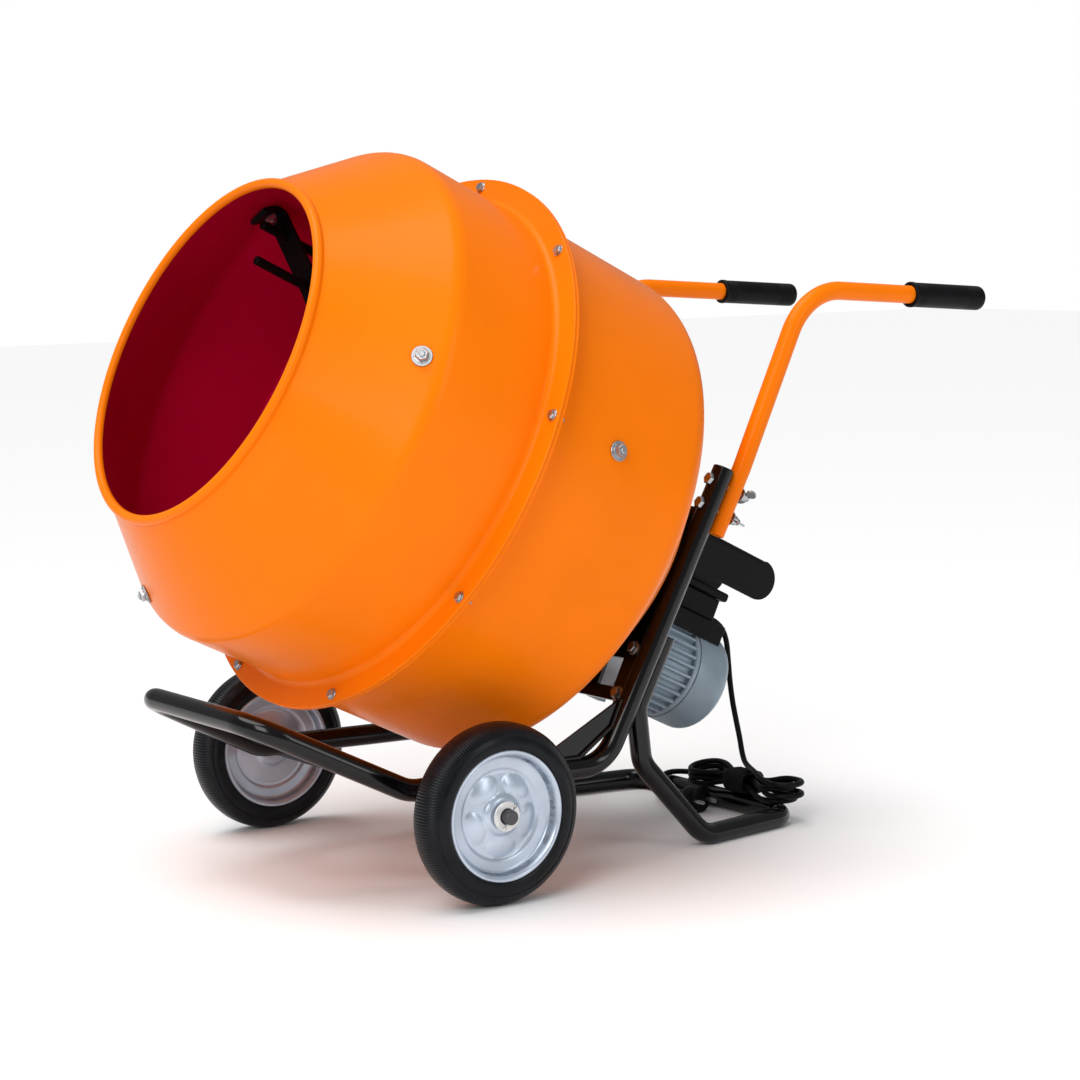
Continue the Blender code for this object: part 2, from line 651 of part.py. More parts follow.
def make_wheel(side, name):
    """Tyre, the two pressed rim halves and the hub tube, all turned about the axle."""
    axis = empty("wheel_axis_" + name, world(side * WHEEL_X, AXLE_BACK, TYRE_RADIUS), (0, side * pi / 2, 0))
    half = TYRE_WIDTH / 2
    tread = TYRE_RADIUS
    shoulder = tread - 0.0105
    tyre = [(RIM_RADIUS + 0.001, half - 0.003), (RIM_RADIUS + 0.006, half), (shoulder, half - 0.0015),
            (tread - 0.003, half - 0.009), (tread, half - 0.018), (tread, -half + 0.018),
            (tread - 0.003, -half + 0.009), (shoulder, -half + 0.0015), (RIM_RADIUS + 0.006, -half),
            (RIM_RADIUS + 0.001, -half + 0.003)]
    turned("tyre_" + name, tyre, 24, RUBBER, axis)
    edge = half - 0.0035
    sheet = 0.002
    mid = -0.0004
    press = lathe_mesh([(0.0110, 0.0145), (0.0185, 0.0145), (0.0235, 0.0085), (0.0640, 0.0070),
                        (0.0675, edge), (RIM_RADIUS, edge), (RIM_RADIUS, edge - sheet),
                        (0.0700, edge - sheet), (0.0680, mid), (0.0630, mid), (0.0600, 0.0050),
                        (0.0222, 0.0064), (0.0178, 0.0125), (0.0110, 0.0125)], 15)
    rim = add_object("rim_" + name, press, SILVER, axis, smooth=False)
    fuse(rim, "inner_half_" + name, press, axis, (0, 0, 0), (pi, 0, 0))
    fuse(rim, "hub_tube_" + name, ring_mesh(0.0115, AXLE_RADIUS + 2 * RUNNING_GAP, 2 * HUB_HALF, 12), axis,
         (0, 0, -HUB_HALF))
    cut(rim, cutter("drain_" + name, cylinder_mesh("drain", 0.003, 0.02, 8), axis, (0.04, 0, -0.010)))


# ---------------------------------------------------------------- handles
HANDLE_BEHIND = FRAME_TUBE / 2 + HANDLE_TUBE / 2 + 0.0005
HANDLE_LOW = 0.042
HANDLE_BOLT_UPS = (0.098, 0.068)
HANDLE_BEND = (0.187, 0.5144, 0.6530)
HANDLE_END = (0.178, 0.804, 0.6338)


def make_handle(side, name):
    low = upright_point(side, HANDLE_LOW, HANDLE_BEHIND)
    high = upright_point(side, UPRIGHT_TOP + 0.01, HANDLE_BEHIND)
    bend = world(side * HANDLE_BEND[0], *HANDLE_BEND[1:])
    end = world(side * HANDLE_END[0], *HANDLE_END[1:])
    back = (end - bend).normalized()
    path = [low, high] + rounded_path([high, bend, end - back * 0.004], HANDLE_BEND_RADIUS, radians(10))[1:]
    handle = as_mesh(tube("handle_" + name, path, HANDLE_TUBE, ORANGE))
    grip_profile = [(0.0, 0.0), (GRIP_DIAMETER / 2 - 0.003, 0.0), (GRIP_DIAMETER / 2, -0.003),
                    (GRIP_DIAMETER / 2, -GRIP_LENGTH + 0.002), (GRIP_DIAMETER / 2 - 0.001, -GRIP_LENGTH),
                    (HANDLE_TUBE / 2 + 0.0004, -GRIP_LENGTH), (HANDLE_TUBE / 2 + 0.0004, -0.0036),
                    (0.0, -0.0036)]
    place = facing(end, back)
    grip = turned("grip_" + name, grip_profile, 16, RUBBER)
    grip.matrix_world = place
    return handle


def make_handle_fixings():
    """Bolts from the front through each upright and handle; each is one solid with its wing nut."""
    shank = 0.004
    seat = FRAME_TUBE + HANDLE_TUBE + 0.0013
    collar = seat + 0.0085
    bolt = lathe_mesh([(0.0, 0.005), (0.0075, 0.005), (0.0075, 0.0), (shank, 0.0), (shank, -seat),
                       (0.0068, -seat), (0.0068, -collar), (shank, -collar), (shank, -collar - 0.006),
                       (0.0, -collar - 0.006)], 8)
    hole = cylinder_mesh("handle_hole", shank + 0.0008, 0.11, 8)
    lobe = cylinder_mesh("wing", 0.0068, 0.0028, 8)
    lobe.transform(Matrix.Rotation(pi / 2, 4, "X"))
    for side, side_name in ((1, "right"), (-1, "left")):
        for up, row in zip(HANDLE_BOLT_UPS, ("upper", "lower")):
            name = "handle_bolt_%s_%s" % (side_name, row)
            head = upright_point(side, up, -FRAME_TUBE / 2 - 0.0004)
            backward = (upright_point(side, up, 0.1) - upright_point(side, up)).normalized()
            part = add_object(name, bolt, ZINC, smooth=False)
            part.matrix_world = facing(head, -backward)
            wings = [(lobe, facing(head, -backward) @ Matrix.Translation((shift, 0, -seat - 0.0055)))
                     for shift in (0.0105, -0.0105)]
            fuse(part, name + "_wings", joined(wings))
            drill = cutter(name + "_hole", hole)
            drill.matrix_world = facing(head, -backward)
            cut(bpy.data.objects["main_frame"], drill)
            cut(bpy.data.objects["handle_" + side_name], drill)


# ---------------------------------------------------------------- carrier plate and gear case
PLATE_THICKNESS = 0.006
PLATE_BACK = GEARCASE_BACK - GAP - PLATE_THICKNESS / 2
PLATE_BOLT_UPS = (-0.171, -0.114, 0.050)
PLATE_BOLT_X = 0.1430
GEARCASE_HALF_WIDTH = 0.094
GEARCASE_TOP = 0.078
GEARCASE_BOTTOM = -0.168


def carrier_lugs():
    """The six lugs welded to the uprights, behind the mounting plate, with their bolt holes."""
    thickness = 0.0052
    lug_back = PLATE_BACK + PLATE_THICKNESS / 2 + GAP + thickness / 2
    inner = 0.1310
    pieces = []
    for side in (1, -1):
        for up in PLATE_BOLT_UPS:
            width = upright_x(up) - 0.004 - inner
            outline = [(0, -0.016), (width, -0.016), (width, 0.016), (0, 0.016)]
            bolt_hole = arc((PLATE_BOLT_X - inner, 0.0), 0.0048, 0.0, 2 * pi, 8)[:-1]
            turn = Matrix.Identity(4) if side > 0 else Matrix.Rotation(pi, 4, "Y")
            spot = Matrix.Translation(drum_frame(side * inner, up, lug_back))
            pieces.append((flat_mesh([outline, bolt_hole], thickness), spot @ turn))
    return joined(pieces)


def make_carrier():
    """The plate between the uprights, one solid with the bolts that hold it and the gear case."""
    low, high = -0.180, 0.066

    def edge(up):
        return upright_x(up) - FRAME_TUBE / 2 - 0.0010

    outline = [(-edge(low), low), (edge(low), low), (edge(high), high), (-edge(high), high)]
    board = as_mesh(plate("mounting_plate", [outline], PLATE_THICKNESS, BLACK, DRUM_AXIS,
                          drum_frame(0, 0, PLATE_BACK)))
    shaft_hole = cylinder_mesh("shaft_hole", 0.0335, 0.03, 20)
    cut(board, cutter("shaft_hole", shaft_hole, DRUM_AXIS, drum_frame(0, 0, PLATE_BACK)))
    for side in (1, -1):
        window = block("window", (0.032, 0.036, 0.03), BLACK).data
        bpy.data.objects.remove(bpy.data.objects["window"], do_unlink=True)
        cut(board, cutter("plate_window", window, DRUM_AXIS, drum_frame(side * 0.114, -0.146, PLATE_BACK)))
    head_back = PLATE_BACK - PLATE_THICKNESS / 2 + 0.0005
    rail_bolt = bolt_mesh(0.0075, 0.006, 0.004, 0.0122)
    case_bolt = bolt_mesh(0.0070, 0.005, 0.004, PLATE_THICKNESS + 0.0038)
    bolts = [(rail_bolt, Matrix.Translation(drum_frame(side * PLATE_BOLT_X, up, head_back)))
             for side in (1, -1) for up in PLATE_BOLT_UPS]
    bolts += [(case_bolt, Matrix.Translation(drum_frame(x, up, head_back))) for x, up in case_bolt_spots()]
    fuse(board, "plate_bolts", joined(bolts), DRUM_AXIS)


def case_bolt_spots():
    """Where the gear case is bolted to the plate, in (x, up)."""
    return [(side * 0.080, up) for side in (1, -1) for up in (0.064, -0.086)] + [(0.0, -0.156)]


def case_outline(margin):
    """The gear case's outline: a rounded box, grown or shrunk by a margin."""
    half = GEARCASE_HALF_WIDTH + margin
    top = GEARCASE_TOP + margin
    low = GEARCASE_BOTTOM - margin
    corner = 0.030 + margin
    low_corner = 0.055 + margin
    return (arc((half - corner, top - corner), corner, 0, pi / 2, 4)
            + arc((-half + corner, top - corner), corner, pi / 2, pi, 4)
            + arc((-half + low_corner, low + low_corner), low_corner, pi, 1.5 * pi, 5)
            + arc((half - low_corner, low + low_corner), low_corner, 1.5 * pi, 2 * pi, 5))


def counter_place():
    """The countershaft's place, from the two centre distances and the motor's drop."""
    fast = MODULE_FAST * (PINION_FAST + WHEEL_FAST) / 2
    slow = MODULE_SLOW * (PINION_SLOW + WHEEL_SLOW) / 2
    up = (fast ** 2 - slow ** 2 - MOTOR_DROP ** 2) / (2 * MOTOR_DROP)
    return sqrt(slow ** 2 - up ** 2), up


WALL = 0.0045
CASE_SPLIT = 0.034                # depth of the front casting


def make_gear_case():
    """The front casting and the rear cover, hollow, with bores for the three shafts."""
    front = as_mesh(plate("gearbox_housing", [case_outline(0.0)], CASE_SPLIT, SILVER))
    front.parent = DRUM_AXIS
    front.location = drum_frame(0, 0, GEARCASE_BACK + CASE_SPLIT / 2)
    hollow = as_mesh(plate("case_hollow", [case_outline(-WALL)], CASE_SPLIT, SILVER))
    hollow_mesh = hollow.data
    bpy.data.objects.remove(hollow, do_unlink=True)
    room = cutter("case_room", hollow_mesh, DRUM_AXIS, drum_frame(0, 0, GEARCASE_BACK + CASE_SPLIT / 2 + WALL))
    cut(front, room)
    bore = cylinder_mesh("output_bore", 0.0262, 0.03, 24)
    cut(front, cutter("output_bore", bore, DRUM_AXIS, drum_frame(0, 0, GEARCASE_BACK)))

    cover_depth = GEARCASE_DEPTH - CASE_SPLIT - GAP
    cover_back = GEARCASE_BACK + CASE_SPLIT + GAP + cover_depth / 2
    cover = as_mesh(plate("gearbox_cover", [case_outline(0.0)], cover_depth, SILVER))
    cover.parent = DRUM_AXIS
    cover.location = drum_frame(0, 0, cover_back)
    inside = as_mesh(plate("cover_hollow", [case_outline(-WALL)], cover_depth, SILVER))
    inside_mesh = inside.data
    bpy.data.objects.remove(inside, do_unlink=True)
    cut(cover, cutter("cover_room", inside_mesh, DRUM_AXIS, drum_frame(0, 0, cover_back - WALL)))
    motor_bore = cylinder_mesh("motor_bore", 0.0195, 0.04, 20)
    cut(cover, cutter("motor_bore", motor_bore, DRUM_AXIS, drum_frame(0, -MOTOR_DROP, cover_back + 0.01)))

    for x, up in case_bolt_spots():
        hole = cylinder_mesh("case_hole", 0.0047, 0.012, 8)
        cut(front, cutter("case_hole", hole, DRUM_AXIS, drum_frame(x, up, GEARCASE_BACK)))


def gear_outline(teeth, module):
    """A gear's outline: each tooth has a flat tip, with the flanks running to a narrow root."""
    pitch = module * teeth / 2
    tip = pitch + 0.80 * module
    root = pitch - 1.05 * module
    points = []
    for tooth in range(teeth):
        middle = 2 * pi * tooth / teeth
        half_tip = 0.26 * pi / teeth
        half_root = 0.66 * pi / teeth
        for angle, radius in ((middle - half_root, root), (middle - half_tip, tip),
                              (middle + half_tip, tip), (middle + half_root, root)):
            points.append((radius * cos(angle), radius * sin(angle)))
    return points


def make_gears():
    """The gear train: motor pinion, countershaft and output gear, each turning on its own axis."""
    counter_x, counter_up = counter_place()
    counter_axis = empty("counter_axis", drum_frame(counter_x, counter_up, GEARCASE_BACK), parent=DRUM_AXIS)
    motor_axis = empty("motor_axis", drum_frame(0, -MOTOR_DROP, MOTOR_BACK), parent=DRUM_AXIS)
    slow_back = 0.0168                # middle of the slow gear pair, behind the case's front face
    fast_back = 0.0400                # middle of the fast gear pair
    output_shaft_radius = 0.0125

    shaft = turned("output_shaft", [(0.0, -DRUM_DEPTH - GAP), (output_shaft_radius, -DRUM_DEPTH - GAP),
                                    (output_shaft_radius, -GEARCASE_BACK - 0.030),
                                    (0.0, -GEARCASE_BACK - 0.030)],
                   16, STEEL, DRUM_AXIS)
    gear_hole = arc((0, 0), output_shaft_radius + 0.0004, 0, 2 * pi, 16)[:-1]
    plate("output_gear", [gear_outline(WHEEL_SLOW, MODULE_SLOW), gear_hole], 0.014, STEEL, DRUM_AXIS,
          drum_frame(0, 0, GEARCASE_BACK + slow_back + 0.0052))

    toward_output = atan2(-counter_up, -counter_x)
    # a tooth of one gear meets a gap of the other where the two phases, in pitches, add up to a half
    output_phase = (toward_output + pi) * WHEEL_SLOW / (2 * pi)
    pinion_turn = toward_output - (0.5 - output_phase) * 2 * pi / PINION_SLOW
    counter = rod("countershaft", 0.0052, 0.0420, STEEL, counter_axis, (0, 0, -0.0262), sides=12)
    fuse(counter, "slow_pinion", flat_mesh([gear_outline(PINION_SLOW, MODULE_SLOW)], 0.0165), counter_axis,
         (0, 0, -slow_back - 0.0052), (0, 0, pinion_turn))
    hole = arc((0, 0), 0.0056, 0, 2 * pi, 12)[:-1]
    fast = plate("countershaft_gear", [gear_outline(WHEEL_FAST, MODULE_FAST), hole], 0.009, STEEL,
                 counter_axis, (0, 0, -fast_back))
    toward_motor = atan2(-MOTOR_DROP - counter_up, -counter_x)
    fast.rotation_euler.z = toward_motor + pi / WHEEL_FAST

    shaft = turned("motor_shaft", [(0.0, 0.0204), (0.0046, 0.0204), (0.0046, 0.0060), (0.0062, 0.0050),
                                   (0.0062, -0.024), (0.0085, -0.024), (0.0085, -0.088),
                                   (0.0062, -0.088), (0.0062, -0.128), (0.0, -0.128)],
                   12, STEEL, motor_axis)
    fuse(shaft, "fast_pinion", flat_mesh([gear_outline(PINION_FAST, MODULE_FAST)], 0.0120), motor_axis,
         (0, 0, MOTOR_BACK - GEARCASE_BACK - fast_back), (0, 0, toward_motor + pi))
    return motor_axis


# ---------------------------------------------------------------- motor
def finned_outline(outer, root, fins):
    """The finned housing's section."""
    points = []
    for fin in range(fins):
        middle = 2 * pi * (fin + 0.5) / fins
        for share, radius in ((-0.22, root), (-0.15, outer), (0.15, outer), (0.22, root)):
            angle = middle + share * 2 * pi / fins
            points.append((radius * cos(angle), radius * sin(angle)))
    return points


def make_motor(axis):
    """Stator housing, windings, rotor, fan and fan cover, along the motor axis (towards -Z)."""
    plate("stator_housing", [finned_outline(MOTOR_RADIUS, MOTOR_RADIUS - 0.0070, 20),
                             arc((0, 0), 0.0505, 0, 2 * pi, 24)[:-1]],
          STATOR_LENGTH - 0.006, MOTOR_GREY, axis, (0, 0, -0.006 - (STATOR_LENGTH - 0.006) / 2))
    turned("motor_flange", [(MOTOR_RADIUS, -GAP), (MOTOR_RADIUS, -0.0057), (0.0105, -0.0057), (0.0105, -GAP)],
           20, MOTOR_GREY, axis)
    turned("stator_core", [(0.0498, -0.022), (0.0498, -0.090), (0.0362, -0.090), (0.0362, -0.022)],
           24, COPPER, axis)
    turned("rotor_core", [(0.0354, -0.026), (0.0354, -0.086), (0.0090, -0.086), (0.0090, -0.026)],
           20, STEEL, axis)
    turned("motor_end_plate", [(0.0498, -0.0975), (0.0498, -0.1035), (0.0085, -0.1035), (0.0085, -0.0975)],
           20, MOTOR_GREY, axis)
    make_fan(axis)
    start = -STATOR_LENGTH - GAP
    end = start - FAN_COVER_LENGTH
    outer = MOTOR_RADIUS + 0.001
    cover = [(outer, start), (outer, end + 0.016), (outer - 0.005, end + 0.005), (outer - 0.016, end),
             (0.014, end), (0.014, end + 0.002), (outer - 0.017, end + 0.002),
             (outer - 0.0065, end + 0.0065), (outer - 0.002, end + 0.0165), (outer - 0.002, start)]
    turned("fan_cover", cover, 22, MOTOR_GREY, axis)


def make_fan(axis):
    """A small radial fan on the rear of the motor shaft."""
    hub_outer, tip = 0.012, 0.050
    points = []
    blades = 7
    for blade in range(blades):
        middle = 2 * pi * blade / blades
        for shift, radius in ((-0.16, hub_outer), (-0.035, tip), (0.035, tip), (0.16, hub_outer)):
            points.append((radius * cos(middle + shift), radius * sin(middle + shift)))
    bore = arc((0, 0), 0.0066, 0, 2 * pi, 10)[:-1]
    plate("cooling_fan", [points, bore], 0.014, PLASTIC, axis, (0, 0, -0.120))


# ---------------------------------------------------------------- switch box, hood and cord
SWITCH_BACK = 0.700               # front end of the switch box
SWITCH_BASE_REAR = 0.7895
SWITCH_BODY_REAR = 0.7690
SWITCH_HALF = 0.044
BASE_TOP = -0.0262
LID_TOP = 0.0135
GLAND_X = 0.006                   # the cord leaves the rear of the switch box under the buttons
GLAND_UP = -0.0180
GLAND_LENGTH = 0.022
BUTTON_X = 0.0200
BUTTON_UP = -0.0110


def make_switch_box():
    """The saddle on the motor, the box with its push buttons, the lid and the capacitor inside."""
    saddle_low = -0.052
    length = SWITCH_BASE_REAR - SWITCH_BACK
    base = block("switch_base", (2 * SWITCH_HALF, BASE_TOP - saddle_low, length), PLASTIC, DRUM_AXIS,
                 drum_frame(0, (BASE_TOP + saddle_low) / 2, SWITCH_BACK + length / 2))
    bed = cylinder_mesh("motor_bed", MOTOR_RADIUS + 0.0018, 0.30, 48)
    cut(base, cutter("motor_bed", bed, DRUM_AXIS, drum_frame(0, -MOTOR_DROP, 0.75)))

    wall = 0.003
    body_length = SWITCH_BODY_REAR - SWITCH_BACK
    body_low = BASE_TOP + GAP
    body_top = LID_TOP - 0.0115
    body = block("switch_box", (2 * SWITCH_HALF - 0.006, body_top - body_low, body_length), PLASTIC,
                 DRUM_AXIS, drum_frame(0, (body_top + body_low) / 2, SWITCH_BACK + body_length / 2))
    room = block("switch_room", (2 * SWITCH_HALF - 0.006 - 2 * wall, 0.05, body_length - 2 * wall),
                 PLASTIC)
    room_mesh = room.data
    bpy.data.objects.remove(room, do_unlink=True)
    cut(body, cutter("switch_room", room_mesh, DRUM_AXIS,
                     drum_frame(0, body_low + wall + 0.025, SWITCH_BACK + body_length / 2)))
    lid_low = body_top + GAP
    lid_length = SWITCH_BODY_REAR + 0.009 - SWITCH_BACK
    block("switch_lid", (2 * SWITCH_HALF, LID_TOP - lid_low, lid_length), PLASTIC, DRUM_AXIS,
          drum_frame(0, (LID_TOP + lid_low) / 2, SWITCH_BACK + lid_length / 2), round_edge=0.003)
    rod("run_capacitor", 0.0105, 0.045, PLASTIC, DRUM_AXIS,
        drum_frame(-0.022, body_low + wall + 0.011, SWITCH_BACK + 0.032), sides=14)

    for name, x, colour in (("start_button", BUTTON_X, GREEN), ("stop_button", -BUTTON_X, RED)):
        up = BUTTON_UP
        axis = empty(name + "_axis", drum_frame(x, up, SWITCH_BODY_REAR), parent=DRUM_AXIS)
        turned(name, [(0.0, 0.0055), (0.0062, 0.0055), (0.0062, -0.0050), (0.0050, -0.0062), (0.0, -0.0062)],
               14, colour, axis)
        hole = cylinder_mesh("button_hole", 0.0068, 0.016, 14)
        cut(body, cutter(name + "_hole", hole, DRUM_AXIS, drum_frame(x, up, SWITCH_BODY_REAR)))


HOOD_HALF = 0.050
HOOD_TOP = 0.0715
HOOD_FRONT = GEARCASE_BACK + GEARCASE_DEPTH + GAP
HOOD_REAR = 0.834


def make_hood():
    """The folded rain hood over the switch box, with round-ended sides and a fixing flange."""
    sheet = 0.0025
    side_low, root_low = 0.0213, 0.0155
    radius = (HOOD_TOP - side_low) / 2
    side = [(-HOOD_FRONT, HOOD_TOP), (-HOOD_FRONT, root_low), (-0.737, root_low), (-0.741, side_low)]
    side += [(-(HOOD_REAR - radius) - radius * sin(angle), HOOD_TOP - radius - radius * cos(angle))
             for angle in [pi * step / 8 for step in range(9)]]
    cheeks = []
    for sign in (1, -1):
        place = Matrix.Translation((sign * (HOOD_HALF - sheet / 2), 0, 0)) @ axes_to_side()
        cheeks.append((flat_mesh([side], sheet), place))
    hood = add_object("motor_hood", joined(cheeks), BLACK, DRUM_AXIS, smooth=False)
    roof_length = HOOD_REAR - radius - HOOD_FRONT
    roof = block("hood_roof", (2 * HOOD_HALF - 0.001, sheet, roof_length), BLACK)
    front = block("hood_front", (2 * HOOD_HALF - 0.001, 0.034, sheet), BLACK)
    for piece, place in ((roof, drum_frame(0, HOOD_TOP - sheet / 2 - 0.0001, HOOD_FRONT + roof_length / 2)),
                         (front, drum_frame(0, HOOD_TOP - 0.017 - 0.0001, HOOD_FRONT + sheet / 2 + 0.0001))):
        shape = piece.data
        bpy.data.objects.remove(piece, do_unlink=True)
        fuse(hood, "hood_fold", shape, DRUM_AXIS, place)
    screw = bolt_mesh(0.0055, 0.0035, 0.0025, 0.0066)
    spots = [drum_frame(x, 0.056, HOOD_FRONT + sheet - 0.0002) for x in (-0.030, 0.030)]
    screws = [(screw, Matrix.Translation(spot) @ Matrix.Rotation(pi, 4, "Y")) for spot in spots]
    fuse(hood, "hood_screws", joined(screws), DRUM_AXIS)
    for spot in spots:
        hole = cylinder_mesh("hood_hole", 0.0033, 0.04, 8)
        cut(bpy.data.objects["gearbox_cover"], cutter("hood_hole", hole, DRUM_AXIS, spot))


def axes_to_side():
    """Turns a flat outline of (-back, up) into the drum frame's side plane."""
    return Matrix(((0, 0, 1, 0), (0, 1, 0, 0), (1, 0, 0, 0), (0, 0, 0, 1)))


def smooth_points(points, spacing):
    """Even points along a smooth curve through the given ones."""
    points = [Vector(point) for point in points]
    padded = [2 * points[0] - points[1]] + points + [2 * points[-1] - points[-2]]
    dense = []
    for a, b, c, d in zip(padded, padded[1:], padded[2:], padded[3:]):
        for step in range(12):
            t = step / 12
            dense.append(0.5 * ((2 * b) + (c - a) * t + (2 * a - 5 * b + 4 * c - d) * t * t
                                + (3 * b - a - 3 * c + d) * t ** 3))
    dense.append(points[-1])
    lengths = [0.0]
    for first, second in zip(dense, dense[1:]):
        lengths.append(lengths[-1] + (second - first).length)
    count = max(2, round(lengths[-1] / spacing))
    even, index = [], 0
    for step in range(count + 1):
        target = lengths[-1] * step / count
        while index < len(lengths) - 2 and lengths[index + 1] < target:
            index += 1
        share = (target - lengths[index]) / (lengths[index + 1] - lengths[index])
        even.append(dense[index].lerp(dense[index + 1], min(max(share, 0.0), 1.0)))
    return even


def make_cord():
    """The mains cord: strain relief, hanging stretch, tied hank on the crossbar, tail and plug."""
    rear = SWITCH_BODY_REAR + GAP
    turned("strain_relief", [(0.0, -rear), (0.0075, -rear), (0.0075, -rear - 0.004),
                             (0.0048, -rear - GLAND_LENGTH), (0.0, -rear - GLAND_LENGTH)],
           12, RUBBER, DRUM_AXIS, (GLAND_X, GLAND_UP, 0))
    hank_low = FRAME_TUBE + GAP
    hank_top = hank_low + HANK_HEIGHT
    drop = [drum_world(GLAND_X, GLAND_UP, rear + GLAND_LENGTH + GAP),
            drum_world(GLAND_X, GLAND_UP, rear + GLAND_LENGTH + 0.008),
            world(0.0062, 0.5300, 0.2260), world(0.0066, 0.5370, 0.2090), world(0.0078, 0.5390, 0.1850),
            world(0.0105, 0.5395, 0.1580), world(0.0150, 0.5400, 0.1320), world(0.0215, 0.5405, 0.1080),
            world(0.0285, 0.5400, 0.0880), world(0.0385, 0.5355, 0.0720), world(0.0530, 0.5280, 0.0625),
            world(0.0700, 0.5210, hank_top + CORD_DIAMETER / 2 + 0.0012)]
    tube("power_cord", smooth_points(drop, 0.0125), CORD_DIAMETER, RUBBER, sides=8)

    length, width = HANK_LENGTH / 2, HANK_WIDTH / 2
    outline = (arc((length - width, 0), width, -pi / 2, pi / 2, 8)
               + arc((-length + width, 0), width, pi / 2, 1.5 * pi, 8))
    hank_place = world(HANK_CENTRE[0], HANK_CENTRE[1], hank_low + HANK_HEIGHT / 2)
    hank = as_mesh(plate("cord_hank", [outline], HANK_HEIGHT, RUBBER, None, hank_place))
    tie_place = world(TIE_X, HANK_CENTRE[1], hank_low + HANK_HEIGHT / 2)

    def band(outer_grow, inner_grow, wide):
        """A rectangular ring about the hank, along X."""
        def loop(grow):
            y, z = HANK_WIDTH / 2 + grow, HANK_HEIGHT / 2 + grow
            return [(-z, -y), (z, -y), (z, y), (-z, y)]
        ring = flat_mesh([loop(outer_grow), loop(inner_grow)], wide)
        ring.transform(Matrix.Rotation(pi / 2, 4, "Y"))
        return ring

    cut(hank, cutter("tie_waist", band(0.01, -TIE_DEPTH - GAP, TIE_LENGTH + 2 * GAP), None, tie_place))
    add_object("cord_tie", band(0.0, -TIE_DEPTH, TIE_LENGTH), RUBBER, None, tie_place, smooth=False)

    tail = [(-0.0350, 0.5425, 0.0293), (-0.0560, 0.5405, 0.0293), (-0.0740, 0.5320, 0.0293),
            (-0.0835, 0.5170, 0.0292), (-0.0820, 0.5000, 0.0262), (-0.0740, 0.4860, 0.0215),
            (-0.0600, 0.4775, 0.0180), (-0.0460, 0.4745, 0.0170), (-0.0330, 0.4740, 0.0171),
            (PLUG_CENTRE[0] - 0.0320, PLUG_CENTRE[1], PLUG_CENTRE[2]),
            (PLUG_CENTRE[0] - 0.0246, PLUG_CENTRE[1], PLUG_CENTRE[2])]
    tube("cord_tail", smooth_points([world(*point) for point in tail], 0.0125), CORD_DIAMETER, RUBBER,
         sides=8)
    plug = [(0.0, 0.024), (0.0165, 0.024), (0.0165, 0.006), (0.0125, -0.004), (0.0068, -0.010),
            (0.0052, -0.0240), (0.0, -0.0240)]
    plug_body = turned("mains_plug", plug, 14, RUBBER, None, world(*PLUG_CENTRE), (0, pi / 2, 0))
    for number, y_shift in enumerate((-0.0095, 0.0095)):
        pin = lathe_mesh([(0.0, 0.0185), (0.0018, 0.0185), (0.0024, 0.0170), (0.0024, -0.004),
                          (0.0, -0.004)], 8)
        spot = world(PLUG_CENTRE[0] + 0.024, PLUG_CENTRE[1] + y_shift, PLUG_CENTRE[2])
        fuse(plug_body, "plug_pin_%d" % number, pin, None, spot, (0, pi / 2, 0))


# ---------------------------------------------------------------- the whole machine
def make_bearing():
    """The bearing ring around the output shaft in the gear case."""
    ring = ring_mesh(0.0255, 0.0125 + RUNNING_GAP, 0.0080, 20)
    place = Matrix.Translation(drum_frame(0, 0, GEARCASE_BACK + 0.0088))
    add_object("output_bearing", joined([(ring, place)]), STEEL, DRUM_AXIS, smooth=False)


drum_front, drum_rear = make_drum()
make_blades()
make_blade_bolts(drum_front, drum_rear)
make_drum_hub()
make_main_frame()
make_rear_stand()
make_gusset(1, "right")
make_gusset(-1, "left")
make_axle()
make_wheel(1, "right")
make_wheel(-1, "left")
make_handle(1, "right")
make_handle(-1, "left")
make_handle_fixings()
make_carrier()
make_gear_case()
make_bearing()
make_motor(make_gears())
make_switch_box()
make_hood()
make_cord()
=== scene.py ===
"""Looks of the electric barrow concrete mixer: fine meshes, materials, cord, studio and camera.

Everything is laid out as in the frame: metres, +Z up, the drum's mouth faces -Y.  Only mm() and
at() take millimetres.  The drum, gear case and motor are laid out in the drum frame: X as in the
world, "up" square to the drum axis, and "back" from the mouth plane along the axis to the motor.
"""
import json
from math import atan2, ceil, cos, hypot, pi, radians, sin, tan

import bmesh
import bpy
from mathutils import Matrix, Vector

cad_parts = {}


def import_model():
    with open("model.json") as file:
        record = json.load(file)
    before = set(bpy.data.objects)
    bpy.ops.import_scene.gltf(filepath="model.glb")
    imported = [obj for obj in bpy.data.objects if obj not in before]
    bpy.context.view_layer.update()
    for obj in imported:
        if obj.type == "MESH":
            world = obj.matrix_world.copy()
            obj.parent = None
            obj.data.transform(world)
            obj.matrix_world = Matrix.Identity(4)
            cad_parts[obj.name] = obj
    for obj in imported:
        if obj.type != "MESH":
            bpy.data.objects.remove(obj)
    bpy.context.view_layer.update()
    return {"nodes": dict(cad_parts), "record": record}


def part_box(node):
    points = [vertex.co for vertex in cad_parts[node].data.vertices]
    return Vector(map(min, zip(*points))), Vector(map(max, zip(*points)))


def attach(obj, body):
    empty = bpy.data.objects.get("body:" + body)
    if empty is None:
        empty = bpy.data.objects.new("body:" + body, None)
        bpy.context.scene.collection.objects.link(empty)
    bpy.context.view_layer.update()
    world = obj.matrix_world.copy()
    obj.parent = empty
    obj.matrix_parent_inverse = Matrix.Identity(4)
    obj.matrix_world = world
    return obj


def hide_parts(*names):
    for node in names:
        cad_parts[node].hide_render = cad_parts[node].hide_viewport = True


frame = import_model()

